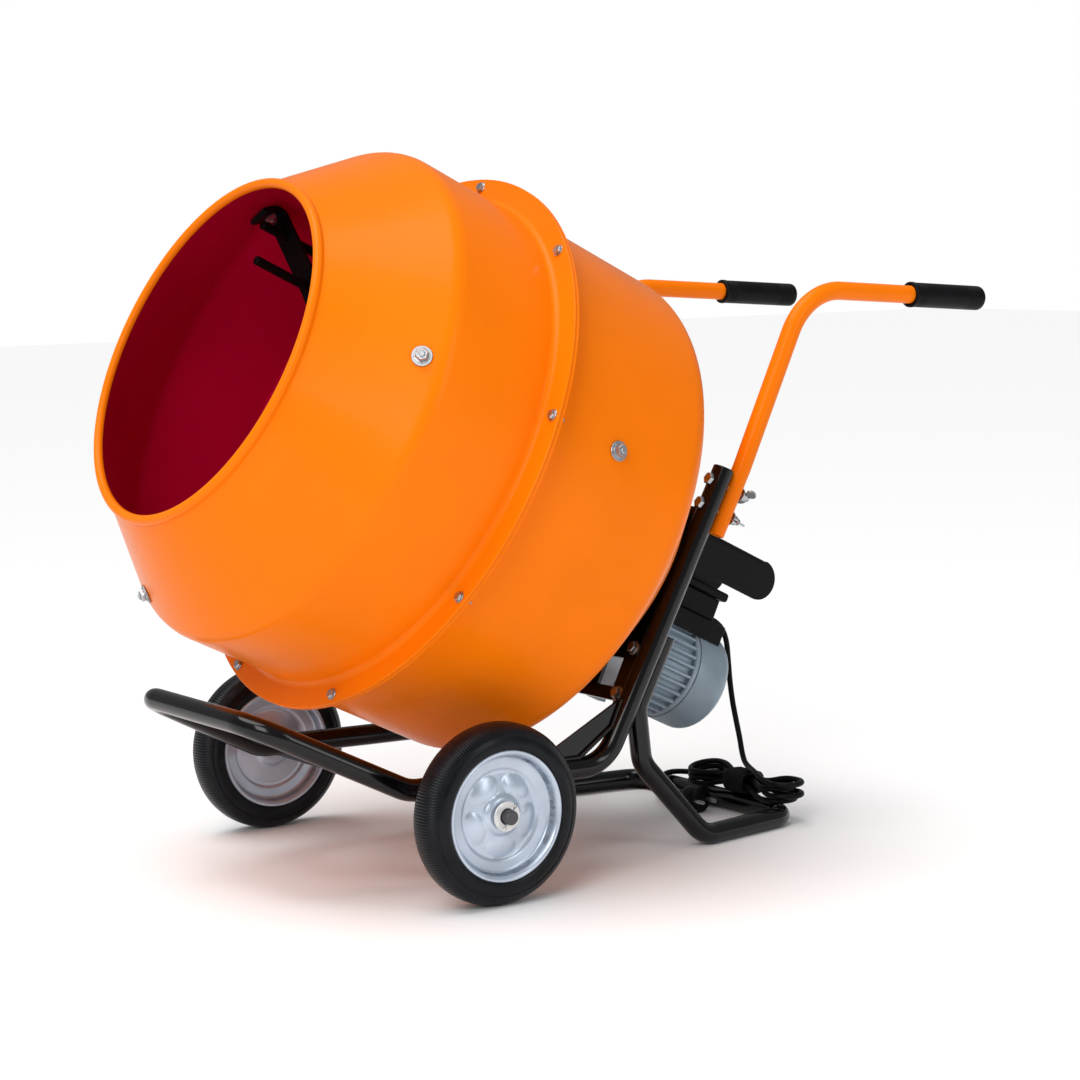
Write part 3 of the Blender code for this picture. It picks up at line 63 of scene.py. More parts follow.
# ---------------------------------------------------------------- dimensions, metres
SIDES = ((1, "right"), (-1, "left"))
GAP = 0.0003
AXLE_BACK = 0.017                # the axle lies this far behind the line that y is measured from
AXLE_LOW, AXLE_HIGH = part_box("axle")
REFERENCE_Y = (AXLE_LOW[1] + AXLE_HIGH[1]) / 2 - AXLE_BACK
AXLE_Z = (AXLE_LOW[2] + AXLE_HIGH[2]) / 2

TYRE_RADIUS = 0.101
TYRE_WIDTH = 0.046
RIM_RADIUS = 0.0727
TYRE_RIBS = 190.0
SHOULDER_INNER, SHOULDER_OUTER = 0.0875, 0.09
WHEEL_X = 0.2495
AXLE_RADIUS = 0.008

FRAME_TUBE = 0.0254
FOOT_WEAR = 0.0006
RUNNER_Z, RUNNER_DROP = 0.1187, 0.0235
LOWER_BEND_UP = -0.2553           # where upright and runner would meet, in the drum frame
RUNNER_KINK = (0.166, -0.042)
BOW_CORNER = (0.129, -0.211, 0.206)
FRAME_BEND, STAND_BEND, HANDLE_BEND_RADIUS = 0.048, 0.035, 0.08
STAND_JOINS = (-0.088, -0.178)
STAND_BEHIND, STAND_INWARD = 0.0226, 0.0135
HANDLE_TUBE = 0.022
GRIP_DIAMETER = 0.03
GRIP_LENGTH = 0.12

DRUM_TILT = radians(26.17)
MOUTH_Y = -0.1906
MOUTH_Z = 0.6047
SHEET = 0.0025
MOUTH_RADIUS = 0.2
RIM_BEAD = 0.0055
FRONT_RADIUS = 0.296
REAR_RADIUS = 0.303
FLANGE_RADIUS = 0.326
FLANGE_BOLT_RADIUS = 0.315
FLANGE_BOLTS = 9
FLANGE_BOLT_START = radians(8.3)
SEAM_BACK = 0.256
DRUM_DEPTH = 0.573
CONE_START_RADIUS, CONE_START_BACK = 0.203, 0.007
CONE_SLOPE = (0.2902 - CONE_START_RADIUS) / (0.1116 - CONE_START_BACK)
SHELL_STEPS = 144
BLADE_ANGLES = [radians(9.0 + 120.0 * step) for step in range(3)]
BLADE_FRONT_BACK = 0.0985
BLADE_REAR_BACK = 0.357
BLADE_CLEAR = 0.0023

UPRIGHT_BACK = 0.5923
UPRIGHT_TOP = 0.117
UPRIGHT_X = 0.1755
SPLAY = 0.055

MOTOR_DROP = 0.0985
MOTOR_RADIUS = 0.0625
GEARCASE_BACK = 0.5958
GEARCASE_DEPTH = 0.0542
CASE_SPLIT = 0.034
MOTOR_BACK = GEARCASE_BACK + GEARCASE_DEPTH + GAP
STATOR_LENGTH = 0.1064
FAN_COVER_LENGTH = 0.055
MOTOR_RING = 0.007
MOTOR_FINS, FIN_DEPTH = 30, 0.0075

CORD_DIAMETER = 0.007
HANK_CENTRE = (0.062, 0.521)
HANK_LENGTH = 0.2
HANK_WIDTH = 0.05
PLUG_CENTRE = (0.008, 0.474, 0.0172)
TIE_X = 0.06
TIE_WRAPS = 6


# ---------------------------------------------------------------- materials
def new_material(name):
    made = bpy.data.materials.new(name)
    made.use_nodes = True
    return made, made.node_tree.nodes, made.node_tree.links


def object_noise(nodes, links, scale, detail, stretch=None):
    """A noise value in the piece's own coordinates."""
    source = nodes.new("ShaderNodeTexCoord").outputs["Object"]
    noise = nodes.new("ShaderNodeTexNoise")
    noise.inputs["Scale"].default_value = scale
    noise.inputs["Detail"].default_value = detail
    if stretch:
        mapping = nodes.new("ShaderNodeMapping")
        mapping.inputs["Scale"].default_value = stretch
        links.new(source, mapping.inputs["Vector"])
        source = mapping.outputs["Vector"]
    links.new(source, noise.inputs["Vector"])
    return noise.outputs["Fac"]


def computed(nodes, links, operation, *sources):
    """The result of a maths node on sockets or plain numbers."""
    made = nodes.new("ShaderNodeMath")
    made.operation = operation
    for socket, source in zip(made.inputs, sources):
        if isinstance(source, float):
            socket.default_value = source
        else:
            links.new(source, socket)
    return made.outputs["Value"]


def colour_by(nodes, links, factor, dark, light):
    """A colour ramp from dark to light over a noise's middle range."""
    ramp = nodes.new("ShaderNodeValToRGB")
    for element, position, colour in zip(ramp.color_ramp.elements, (0.35, 0.65), (dark, light)):
        element.position = position
        element.color = (*colour, 1.0)
    links.new(factor, ramp.inputs["Fac"])
    links.new(ramp.outputs["Color"], nodes["Principled BSDF"].inputs["Base Color"])


def roughness_by(nodes, links, factor, low, high):
    spread = nodes.new("ShaderNodeMapRange")
    spread.inputs["To Min"].default_value = low
    spread.inputs["To Max"].default_value = high
    links.new(factor, spread.inputs["Value"])
    links.new(spread.outputs["Result"], nodes["Principled BSDF"].inputs["Roughness"])


def bump_by(nodes, links, height, strength, distance):
    bump = nodes.new("ShaderNodeBump")
    bump.inputs["Strength"].default_value = strength
    bump.inputs["Distance"].default_value = distance
    links.new(height, bump.inputs["Height"])
    links.new(bump.outputs["Normal"], nodes["Principled BSDF"].inputs["Normal"])


def surface(name, colour, tones, cloud, roughness, grain, bump, **shading):
    """A material whose colour and roughness drift over a cloud noise and whose grain is a bump.

    tones and roughness: the range of the colour's factor and of the roughness.  cloud and grain:
    scale, detail and stretch of the noise, where grain may be None for the cloud's own.
    """
    made, nodes, links = new_material(name)
    for label, value in shading.items():
        nodes["Principled BSDF"].inputs[label.replace("_", " ")].default_value = value
    clouds = object_noise(nodes, links, *cloud)
    dark, light = [tuple(channel * tone for channel in colour) for tone in tones]
    colour_by(nodes, links, clouds, dark, light)
    roughness_by(nodes, links, clouds, *roughness)
    bump_by(nodes, links, object_noise(nodes, links, *grain) if grain else clouds, *bump)
    return made


def enamel(name, colour, roughness, coat, peel, spread, specular):
    """Gloss paint on steel: slight orange peel, soft tone changes and a clear top layer."""
    return surface(name, colour, (1 - spread, 1.0), (7.0, 2.0), (roughness * 0.8, roughness * 1.3),
                   (260.0, 2.0), (peel, 0.0008), Coat_Weight=coat, Coat_Roughness=0.07,
                   Specular_IOR_Level=specular)


def rubber(name, colour, roughness, grain, strength, specular=0.1):
    """Moulded rubber or soft plastic with a fine grain."""
    return surface(name, colour, (0.75, 1.25), (30.0, 3.0), (roughness * 0.88, roughness * 1.12),
                   (grain, 2.0), (strength, 0.0004), Specular_IOR_Level=specular)


def bare_metal(name, colour, roughness, stretch=(1.0, 1.0, 12.0), scale=220.0, metallic=1.0):
    """Plated or machined steel with fine drawn lines."""
    return surface(name, colour, (0.8, 1.0), (scale, 3.0, stretch),
                   (roughness * 0.75, roughness * 1.35), None, (0.08, 0.0003), Metallic=metallic)


def cast_paint(name, colour, roughness, metallic, grain=170.0, strength=0.28):
    """Paint over a sand casting: a pebbled surface under an even coat."""
    return surface(name, colour, (0.85, 1.08), (16.0, 3.0), (roughness * 0.85, roughness * 1.2),
                   (grain, 4.0), (strength, 0.0006), Metallic=metallic)


def tyre_rubber(name):
    """Tyre rubber with fine ribs round the shoulder, laid out about the wheel's own axis."""
    made, nodes, links = new_material(name)
    nodes["Principled BSDF"].inputs["Specular IOR Level"].default_value = 0.18
    cloud = object_noise(nodes, links, 40.0, 3.0)
    colour_by(nodes, links, cloud, (0.002, 0.0035, 0.005), (0.006, 0.007, 0.01))
    roughness_by(nodes, links, cloud, 0.26, 0.36)
    split = nodes.new("ShaderNodeSeparateXYZ")
    links.new(nodes.new("ShaderNodeTexCoord").outputs["Object"], split.inputs["Vector"])
    x, y = split.outputs["X"], split.outputs["Y"]
    angle = computed(nodes, links, "ARCTAN2", y, x)
    ribs = computed(nodes, links, "SINE", computed(nodes, links, "MULTIPLY", angle, TYRE_RIBS))
    square = computed(nodes, links, "MULTIPLY", x, x)
    radius = computed(nodes, links, "SQRT", computed(nodes, links, "MULTIPLY_ADD", y, y, square))
    shoulder = nodes.new("ShaderNodeMapRange")
    shoulder.inputs["From Min"].default_value = SHOULDER_INNER
    shoulder.inputs["From Max"].default_value = SHOULDER_OUTER
    links.new(radius, shoulder.inputs["Value"])
    height = computed(nodes, links, "MULTIPLY", ribs, shoulder.outputs["Result"])
    bump_by(nodes, links, height, 0.4, 0.0006)
    return made


ORANGE = enamel("orange_enamel", (0.92, 0.19, 0.0015), 0.27, 0.02, 0.04, 0.05, 0.07)
INSIDE = enamel("drum_inside", (0.74, 0.001, 0.06), 0.45, 0.0, 0.08, 0.1, 0.12)
BLACK = enamel("black_enamel", (0.002, 0.002, 0.003), 0.15, 0.06, 0.04, 0.2, 0.32)
SATIN_BLACK = enamel("satin_black", (0.003, 0.003, 0.003), 0.45, 0.0, 0.12, 0.2, 0.14)
RIM_SILVER = cast_paint("rim_silver", (0.54, 0.62, 0.73), 0.3, 0.6, 420.0, 0.1)
CASE_SILVER = cast_paint("gear_case_silver", (0.42, 0.44, 0.47), 0.4, 0.45)
MOTOR_PAINT = cast_paint("motor_enamel", (0.28, 0.36, 0.43), 0.34, 0.12, 240.0, 0.16)
ZINC = bare_metal("zinc_plate", (0.5, 0.52, 0.54), 0.3)
WASHER = bare_metal("white_zinc", (0.86, 0.86, 0.86), 0.35, (1.0, 1.0, 1.0), 160.0, 0.3)
STEEL = bare_metal("machined_steel", (0.45, 0.45, 0.46), 0.32)
# Partly painted shade: the axle's steel is made near black, so that its end, seen through the
# washer, also stands for the shade in the hub's bore.
DARK_STEEL_AND_SHADE = bare_metal("dark_steel_and_painted_shade", (0.1, 0.1, 0.11), 0.42, metallic=0.8)
COPPER = bare_metal("copper_winding", (0.5, 0.22, 0.08), 0.35)
TYRE = tyre_rubber("tyre_rubber")
GRIP = rubber("grip_rubber", (0.004, 0.004, 0.005), 0.42, 700.0, 0.2)
BOX_PLASTIC = rubber("box_plastic", (0.004, 0.004, 0.005), 0.4, 1100.0, 0.25)
CORD_RUBBER = rubber("cord_rubber", (0.004, 0.004, 0.005), 0.38, 1200.0, 0.1)
GREEN = rubber("green_plastic", (0.02, 0.28, 0.05), 0.3, 900.0, 0.05, 0.5)
RED = rubber("red_plastic", (0.5, 0.012, 0.01), 0.3, 900.0, 0.05, 0.5)


# ---------------------------------------------------------------- places
STILL = Matrix.Identity(4)
move = Matrix.Translation


def turn(angle, axis):
    return Matrix.Rotation(angle, 4, axis)


def lift(height):
    return move((0, 0, height))


def mm(*points):
    """Points given in millimetres, in metres."""
    return [tuple(value / 1000 for value in point) for point in points]


def at(across, along, *points):
    """Points of a profile, in millimetres from a place given in metres."""
    return [(across + x / 1000, along + y / 1000) for x, y in points]


def world(x, y, z):
    """A world point whose y is measured from the reference line."""
    return Vector((x, y + REFERENCE_Y, z))


DRUM = move(world(0.0, MOUTH_Y, MOUTH_Z)) @ turn(pi / 2 - DRUM_TILT, "X")


def drum_frame(x, up, back):
    """A place in the drum frame, in the local coordinates of DRUM."""
    return Vector((x, up, -back))


def drum_world(x, up, back):
    return DRUM @ drum_frame(x, up, back)


def at_drum(x, up, back):
    return DRUM @ move(drum_frame(x, up, back))


def around(angle, radius, back):
    return drum_frame(radius * cos(angle), radius * sin(angle), back)


def facing(location, direction, spin=0.0):
    """A matrix that puts a piece's +Z along a direction, at a place."""
    aimed = Vector(direction).to_track_quat("Z", "Y").to_matrix().to_4x4()
    return move(Vector(location)) @ aimed @ turn(spin, "Z")


def upright_x(up):
    return UPRIGHT_X + SPLAY * up


def upright_point(side, up, behind=0.0, inward=0.0):
    return drum_world(side * (upright_x(up) - inward), up, UPRIGHT_BACK + behind)


def main_tube_z(y):
    """The runner's centre line, which drops slightly towards the back."""
    return RUNNER_Z - RUNNER_DROP * y


# ---------------------------------------------------------------- shapes
def add_object(name, data):
    made = bpy.data.objects.new(name, data)
    bpy.context.scene.collection.objects.link(made)
    return made


def piece(name, mesh, look, place, *nodes, body="machine", slot=None, inside=None, soften=0.0,
          segments=2, angle=35, own_axis=False):
    """A finished piece: shaded, optionally with eased edges, riding on its body.

    inside is the look of its second material, nodes are the CAD nodes it stands for.
    """
    made = add_object(name, mesh)
    if own_axis:
        made.matrix_world = place
    else:
        mesh.transform(place)
    for material in filter(None, (look, inside)):
        mesh.materials.append(material)
    mesh.shade_smooth()
    mesh.set_sharp_from_angle(angle=radians(angle))
    if soften:
        bevel = made.modifiers.new("soft edges", "BEVEL")
        bevel.width = soften
        bevel.segments = segments
        bevel.limit_method = "ANGLE"
        bevel.angle_limit = radians(angle)
        bevel.harden_normals = False
    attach(made, body)
    if nodes:
        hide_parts(*nodes)
    return made


def arc(centre, radius, start, end, segments):
    """Points on an arc in the plane, angles in radians, both ends included."""
    span = [start + (end - start) * step / segments for step in range(segments + 1)]
    return [(centre[0] + radius * cos(angle), centre[1] + radius * sin(angle)) for angle in span]


def finished(build, name, recalculate=True):
    """The mesh of a finished build, with its faces turned outwards."""
    if recalculate:
        bmesh.ops.recalc_face_normals(build, faces=build.faces)
    mesh = bpy.data.meshes.new(name)
    build.to_mesh(mesh)
    build.free()
    return mesh


def bridge(build, rings, ends=True):
    """Side faces between rings of vertices, and a face over each end if wanted."""
    for first, second in zip(rings, rings[1:]):
        for step in range(len(first)):
            after = (step + 1) % len(first)
            build.faces.new((first[step], first[after], second[after], second[step]))
    if ends:
        build.faces.new(rings[0])
        build.faces.new(list(reversed(rings[-1])))


def lathe(profile, steps, inner_from=None):
    """A turned mesh about Z.  A profile that leaves the axis is closed on itself.

    Segments from inner_from on take the second material.
    """
    build = bmesh.new()
    turns = [2 * pi * step / steps for step in range(steps)]
    rings = [[build.verts.new((radius * cos(angle), radius * sin(angle), height))
              for angle in (turns if radius > 0.0 else turns[:1])]
             for radius, height in profile]
    pairs = list(zip(rings, rings[1:]))
    if profile[0][0] > 0.0:
        pairs.append((rings[-1], rings[0]))
    for index, (first, second) in enumerate(pairs):
        for step in range(steps):
            after = (step + 1) % steps
            if len(first) == 1:
                corners = (first[0], second[step], second[after])
            elif len(second) == 1:
                corners = (first[step], second[0], first[after])
            else:
                corners = (first[step], second[step], second[after], first[after])
            face = build.faces.new(corners)
            if inner_from is not None and index >= inner_from:
                face.material_index = 1
    return finished(build, "turned")


def rounded_path(corners, radius, step_angle=radians(4)):
    """A polyline through corners, with each inner corner rounded to the bend radius."""
    path = [Vector(corners[0])]
    for before, corner, after in zip(corners, corners[1:], corners[2:]):
        corner = Vector(corner)
        towards = (corner - Vector(before)).normalized()
        away = (Vector(after) - corner).normalized()
        angle = towards.angle(away)
        start = corner - towards * radius * tan(angle / 2)
        inward = (away - towards * cos(angle)).normalized()
        centre = start + inward * radius
        steps = max(3, ceil(angle / step_angle))
        for step in range(steps + 1):
            bend = angle * step / steps
            path.append(centre - inward * radius * cos(bend) + towards * radius * sin(bend))
    path.append(Vector(corners[-1]))
    return path


def sweep(path, radius, sides=24, caps=True, radii=None):
    """A round tube's mesh along a path, with a frame carried along so that it doesn't twist."""
    build = bmesh.new()
    path = [Vector(point) for point in path]
    count = len(path)
    tangents = [(path[min(i + 1, count - 1)] - path[max(i - 1, 0)]).normalized()
                for i in range(count)]
    side = tangents[0].orthogonal().normalized()
    rings = []
    for index, (point, tangent) in enumerate(zip(path, tangents)):
        side = (side - tangent * side.dot(tangent)).normalized()
        other = tangent.cross(side)
        size = radii[index] if radii else radius
        rings.append([build.verts.new(point + (side * cos(2 * pi * step / sides)
                                               + other * sin(2 * pi * step / sides)) * size)
                      for step in range(sides)])
    bridge(build, rings, caps)
    return finished(build, "tube")


def poly_curve(name, dimensions, lines):
    """A curve object of straight lines; a flat one's lines are closed."""
    curve = bpy.data.curves.new(name, "CURVE")
    curve.dimensions = dimensions
    for line in lines:
        spline = curve.splines.new("POLY")
        spline.points.add(len(line) - 1)
        for target, point in zip(spline.points, line):
            target.co = (*point, 1.0)
        spline.use_cyclic_u = dimensions == "2D"
    return add_object(name, curve)


def prism(outline, thickness, holes=()):
    """A flat plate of an outline, centred on its own XY plane, with holes left open."""
    lines = [[(*point, 0.0) for point in line] for line in (outline, *holes)]
    holder = poly_curve("outline", "2D", lines)
    holder.data.fill_mode = "BOTH"
    holder.data.extrude = thickness / 2
    bpy.context.view_layer.update()
    evaluated = holder.evaluated_get(bpy.context.evaluated_depsgraph_get())
    filled = bpy.data.meshes.new_from_object(evaluated)
    curve = holder.data
    bpy.data.objects.remove(holder, do_unlink=True)
    bpy.data.curves.remove(curve)
    weld = bmesh.new()
    weld.from_mesh(filled)
    bpy.data.meshes.remove(filled)
    bmesh.ops.remove_doubles(weld, verts=weld.verts, dist=0.00002)
    bmesh.ops.dissolve_limit(weld, angle_limit=radians(0.5), verts=weld.verts, edges=weld.edges)
    return finished(weld, "plate")


def box_mesh(size):
    build = bmesh.new()
    bmesh.ops.create_cube(build, size=1.0)
    bmesh.ops.scale(build, vec=size, verts=build.verts)
    return finished(build, "box", False)


def joined(pieces):
    """One mesh holding several shapes, from (mesh, matrix) pairs."""
    build = bmesh.new()
    for source, place in pieces:
        copy = source.copy()
        copy.transform(place)
        build.from_mesh(copy)
        bpy.data.meshes.remove(copy)
    return finished(build, "joined", False)


def hex_head(radius, height):
    """A hexagon head standing on Z = 0, with its top corners chamfered to a circle."""
    build = bmesh.new()
    levels = [(radius, 0.0), (radius, height * 0.72), (radius * 0.86, height)]
    rings = [[build.verts.new((size * cos(pi * step / 3), size * sin(pi * step / 3), level))
              for step in range(6)] for size, level in levels]
    bridge(build, rings)
    return finished(build, "hex_head")


def disc(radius, height, low=0.0, sides=32, ease=0.15):
    """A short round bar with eased edges, from low up by height."""
    cut = min(height, radius) * ease
    return lathe([(0.0, low + height), (radius - cut, low + height), (radius, low + height - cut),
                  (radius, low + cut), (radius - cut, low), (0.0, low)], sides)


def washer_mesh(outer, inner, height, sides=32):
    cut = height * 0.25
    return lathe([(outer - cut, height), (outer, height - cut), (outer, cut), (outer - cut, 0.0),
                  (inner, 0.0), (inner, height)], sides)


def threaded(radius, length, low, sides=16, pitch=0.0012):
    """A threaded shank as stacked ridges, from low downwards."""
    rows = max(2, int(length / pitch))
    profile = [(0.0, low)]
    for row in range(rows):
        top = low - length * row / rows
        profile += [(radius * 0.86, top), (radius, top - length / rows / 2)]
    profile += [(radius * 0.86, low - length), (0.0, low - length)]
    return lathe(profile, sides)


def stack(seat, *layers):
    """Meshes at their heights over a seat, ready to be joined."""
    return [(mesh, seat @ lift(height)) for mesh, height in layers]


def ribs(count, start, pitch, outer, shrink, profile):
    """A row of ribs on a turned profile, each the same but for a smaller radius."""
    return [(outer - shrink * rib - inward, start - pitch * rib + along)
            for rib in range(count) for inward, along in profile]


def bead_row(path, radius, spacing, phase=0.0):
    """A weld bead: overlapping flattened scales along a path."""
    dense = []
    for first, second in zip(path, path[1:]):
        steps = max(1, ceil((Vector(second) - Vector(first)).length / (spacing / 4)))
        dense += [Vector(first).lerp(Vector(second), step / steps) for step in range(steps)]
    dense.append(Vector(path[-1]))
    sizes = [radius * (0.86 + 0.14 * sin(phase + pi * index / 2)) for index in range(len(dense))]
    sizes[0] = sizes[-1] = radius * 0.3
    return sweep(dense, radius, 10, True, sizes)


# ---------------------------------------------------------------- drum
def make_drum_front():
    bead = arc((MOUTH_RADIUS, -0.003), RIM_BEAD, radians(200), radians(-35), 18)
    groove = [(0.2038, -0.0082), (0.2046, -0.0095)]
    shoulder = [(0.288, -0.109), (0.2902, -0.1116), (0.2922, -0.1144), (0.2939, -0.1176),
                (0.2951, -0.1212), (0.2958, -0.1246), (FRONT_RADIUS, -0.1285)]
    face = SEAM_BACK - 0.0012 - SHEET
    root = arc((FRONT_RADIUS + 0.008, -face + 0.008), 0.008, radians(180), radians(270), 8)
    lip = [(FLANGE_RADIUS - 0.0006, -face), (FLANGE_RADIUS, -face - 0.0006),
           (FLANGE_RADIUS, -face - SHEET + 0.0004), (FLANGE_RADIUS - 0.0004, -face - SHEET),
           (FRONT_RADIUS - SHEET + 0.001, -face - SHEET)]
    inner = [(FRONT_RADIUS - SHEET, -face), (FRONT_RADIUS - SHEET, -0.1288), (0.2925, -0.1222),
             (0.2905, -0.117), (0.287, -0.1122), (0.2013, -0.0095)]
    profile = bead + groove + shoulder + root + lip + inner
    inner_from = len(profile) - len(inner) - 1
    mesh = lathe(profile, SHELL_STEPS, inner_from)
    piece("drum_front_shell", mesh, ORANGE, DRUM, "drum_front", body="drum", inside=INSIDE,
          angle=30)


def make_drum_rear():
    face = SEAM_BACK + 0.0012
    flange = [(FRONT_RADIUS + 0.001, -face)] + at(FLANGE_RADIUS, -face, (-0.4, 0), (0, -0.4))
    flange += at(FLANGE_RADIUS, -face - SHEET, (0, 0.6), (-0.6, 0))
    root = arc((REAR_RADIUS + 0.007, -face - SHEET - 0.007), 0.007, radians(90), radians(180), 7)
    corner_radius = 0.033
    cone_turn = atan2(1.0, 1.29)
    corner = arc((REAR_RADIUS - corner_radius, -0.458), corner_radius, 0.0, -(pi / 2 - cone_turn),
                 10)
    foot = [(0.185, -0.5672), (0.18, -0.5704), (0.1755, -0.5722), (0.1706, -DRUM_DEPTH)]
    step = at(0, -DRUM_DEPTH, (70, 0), (69, 0.3), (30, 0.3))
    outer = flange + root + corner + foot + step
    inner = [(0.03, -DRUM_DEPTH + SHEET), (0.17, -DRUM_DEPTH + SHEET), (0.179, -0.5676),
             (0.2875, -0.483), (0.2968, -0.472), (REAR_RADIUS - SHEET, -0.456),
             (REAR_RADIUS - SHEET, -face - 0.002)]
    mesh = lathe(outer + inner, SHELL_STEPS, len(outer))
    piece("drum_rear_shell", mesh, ORANGE, DRUM, "drum_rear", body="drum", inside=INSIDE, angle=30)


def make_seam():
    half = 0.0012 - GAP
    outer, inner = 0.3255, 0.2905
    ring = lathe([(outer, -SEAM_BACK + half), (outer, -SEAM_BACK - half),
                  (inner, -SEAM_BACK - half), (inner, -SEAM_BACK + half)], 120, 1)
    piece("seam_strip", ring, ORANGE, DRUM, "drum_seal", body="drum", slot="drum_seal",
          inside=INSIDE)


def make_flange_bolts():
    seat = 0.0012 + SHEET + GAP
    pieces = []
    for step in range(FLANGE_BOLTS):
        angle = FLANGE_BOLT_START + 2 * pi * step / FLANGE_BOLTS
        place = move(around(angle, FLANGE_BOLT_RADIUS, SEAM_BACK))
        spin = turn(0.7 * step, "Z")
        pieces += stack(place, (washer_mesh(0.0068, 0.003, 0.0008, 20), seat))
        pieces += stack(place @ spin, (hex_head(0.0055, 0.0036), seat + 0.0006))
        pieces.append((hex_head(0.0058, 0.0045), place @ lift(-seat) @ turn(pi, "X") @ spin))
        pieces += stack(place, (threaded(0.0029, 0.0065, 0.0, 12, 0.001), -seat - 0.001))
    piece("flange_bolt_set", joined(pieces), ZINC, DRUM, "flange_bolts", body="drum")


def cone_radius(back):
    """The front cone's outer radius at a distance behind the mouth plane."""
    return CONE_START_RADIUS + (back - CONE_START_BACK) * CONE_SLOPE


def cone_normal():
    length = hypot(1.0, CONE_SLOPE)
    return 1.0 / length, -CONE_SLOPE / length


def blade_seats():
    """Each blade bolt's place and outward direction, two for each blade."""
    out, forward = cone_normal()
    seats = []
    for angle in BLADE_ANGLES:
        radial = Vector((cos(angle), sin(angle), 0.0))
        on_cone = around(angle, cone_radius(BLADE_FRONT_BACK), BLADE_FRONT_BACK)
        seats.append((on_cone, radial * out + Vector((0, 0, -forward))))
        seats.append((around(angle, REAR_RADIUS, BLADE_REAR_BACK), radial))
    return seats


def blade_centre_line(bar):
    """A blade's bent bar in its own plane: X is radius, Y is minus back."""
    out, forward = cone_normal()
    off_wall = SHEET + bar / 2 + BLADE_CLEAR

    def on_cone(back):
        return (cone_radius(back) - off_wall * out, -(back - off_wall * forward), 0.0)

    rear_wall = REAR_RADIUS - off_wall
    return [on_cone(0.082), on_cone(0.1095), (0.185, -0.162, 0.0), (0.151, -0.174, 0.0),
            (0.151, -0.296, 0.0), (0.19, -0.31, 0.0), (rear_wall, -0.335, 0.0),
            (rear_wall, -0.375, 0.0)]


def flat_bar(path, thickness, width):
    """A flat bar bent in the XY plane along a smooth path, its width along Z."""
    build = bmesh.new()
    count = len(path)
    rows = []
    for index, point in enumerate(path):
        along = (path[min(index + 1, count - 1)] - path[max(index - 1, 0)]).normalized()
        normal = Vector((-along.y, along.x, 0.0)) * thickness / 2
        half = Vector((0, 0, width / 2))
        rows.append([build.verts.new(point + offset)
                     for offset in (normal - half, normal + half, -normal + half, -normal - half)])
    bridge(build, rows)
    return finished(build, "flat_bar")


def make_blades():
    bar = 0.006
    path = rounded_path(blade_centre_line(bar), 0.01, radians(12))
    for index, angle in enumerate(BLADE_ANGLES):
        plane = turn(angle, "Z") @ turn(pi / 2, "X")
        bent = flat_bar(path, bar, 0.028)
        shapes = [(bent, plane)]
        for radius, front, rear in ((0.25, 0.092, 0.352), (0.185, 0.08, 0.34)):
            place = move(around(angle, radius, front))
            shapes.append((disc(0.0055, rear - front, front - rear, 16, 0.2), place))
        name = "blade_%d" % (index + 1)
        piece(name, joined(shapes), SATIN_BLACK, DRUM, "mixing_%s" % name, body="drum",
              soften=0.0008)


def make_blade_bolts():
    """The big bolts with washers that show on the outside of the drum."""
    outside, inside = [], []
    inner = SHEET + BLADE_CLEAR + 0.006
    for number, (place, outward) in enumerate(blade_seats()):
        seat = facing(place, outward, 0.4 * number)
        outside += stack(seat, (washer_mesh(0.0112, 0.004, 0.0016, 40), 0.0006),
                         (washer_mesh(0.0086, 0.004, 0.0012, 32), 0.0021),
                         (hex_head(0.0074, 0.0052), 0.0032),
                         (disc(0.0034, 0.0024, 0.008, 20, 0.3), 0))
        inside += stack(seat @ lift(-inner) @ turn(pi, "X"), (hex_head(0.0085, 0.006), 0),
                        (disc(0.0045, 0.01, 0.0, 16, 0.15), 0))
    piece("blade_bolt_heads", joined(outside), ZINC, DRUM, body="drum")
    piece("blade_bolt_nuts", joined(inside), ZINC, DRUM, body="drum")


def make_hub():
    face = DRUM_DEPTH + GAP
    profile = at(0, -face, (61.5, 0), (62, -0.6), (62, -5.4), (61.2, -6), (34.5, -8.8), (32.5, -10),
                 (25, -15.5), (13, -15.5), (13, 0))
    piece("hub_disc", lathe(profile, 64), STEEL, DRUM, "drum_hub", body="drum")
    inside = DRUM_DEPTH - SHEET - GAP
    seats = [move(around(pi / 4 + step * pi / 2, 0.046, inside)) for step in range(4)]
    ring = lathe(mm((53, -0.2), (53, 1.8), (39, 1.8), (39, -0.2)), 48)
    shapes = [(ring, move(drum_frame(0, 0, inside)))]
    shapes += [(hex_head(0.0068, 0.005), seat @ lift(0.0018)) for seat in seats]
    piece("hub_bolt_ring", joined(shapes), ZINC, DRUM, "hub_bolts", body="drum")


# ---------------------------------------------------------------- frame
def make_main_frame():
    low = drum_world(upright_x(LOWER_BEND_UP), LOWER_BEND_UP, UPRIGHT_BACK)
    right = [upright_point(1, UPRIGHT_TOP), low, world(*RUNNER_KINK, main_tube_z(RUNNER_KINK[1])),
             world(*BOW_CORNER)]
    left = [Vector((-point.x, point.y, point.z)) for point in reversed(right)]
    tube = sweep(rounded_path(right + left, FRAME_BEND), FRAME_TUBE / 2, 32)
    piece("frame_tube", tube, BLACK, STILL, "main_frame", soften=0.0012, angle=60)
    lugs = []
    inner, thickness = 0.131, 0.0052
    for side in (1, -1):
        for up in PLATE_BOLT_UPS:
            width = upright_x(up) - 0.006 - inner
            outline = [(0, -0.016), (width, -0.016), (width, 0.016), (0, 0.016)]
            flip = STILL if side > 0 else turn(pi, "Y")
            spot = drum_frame(side * inner, up, GEARCASE_BACK + thickness / 2)
            lugs.append((prism(outline, thickness), move(spot) @ flip))
    piece("frame_lugs", joined(lugs), BLACK, DRUM, soften=0.0008)


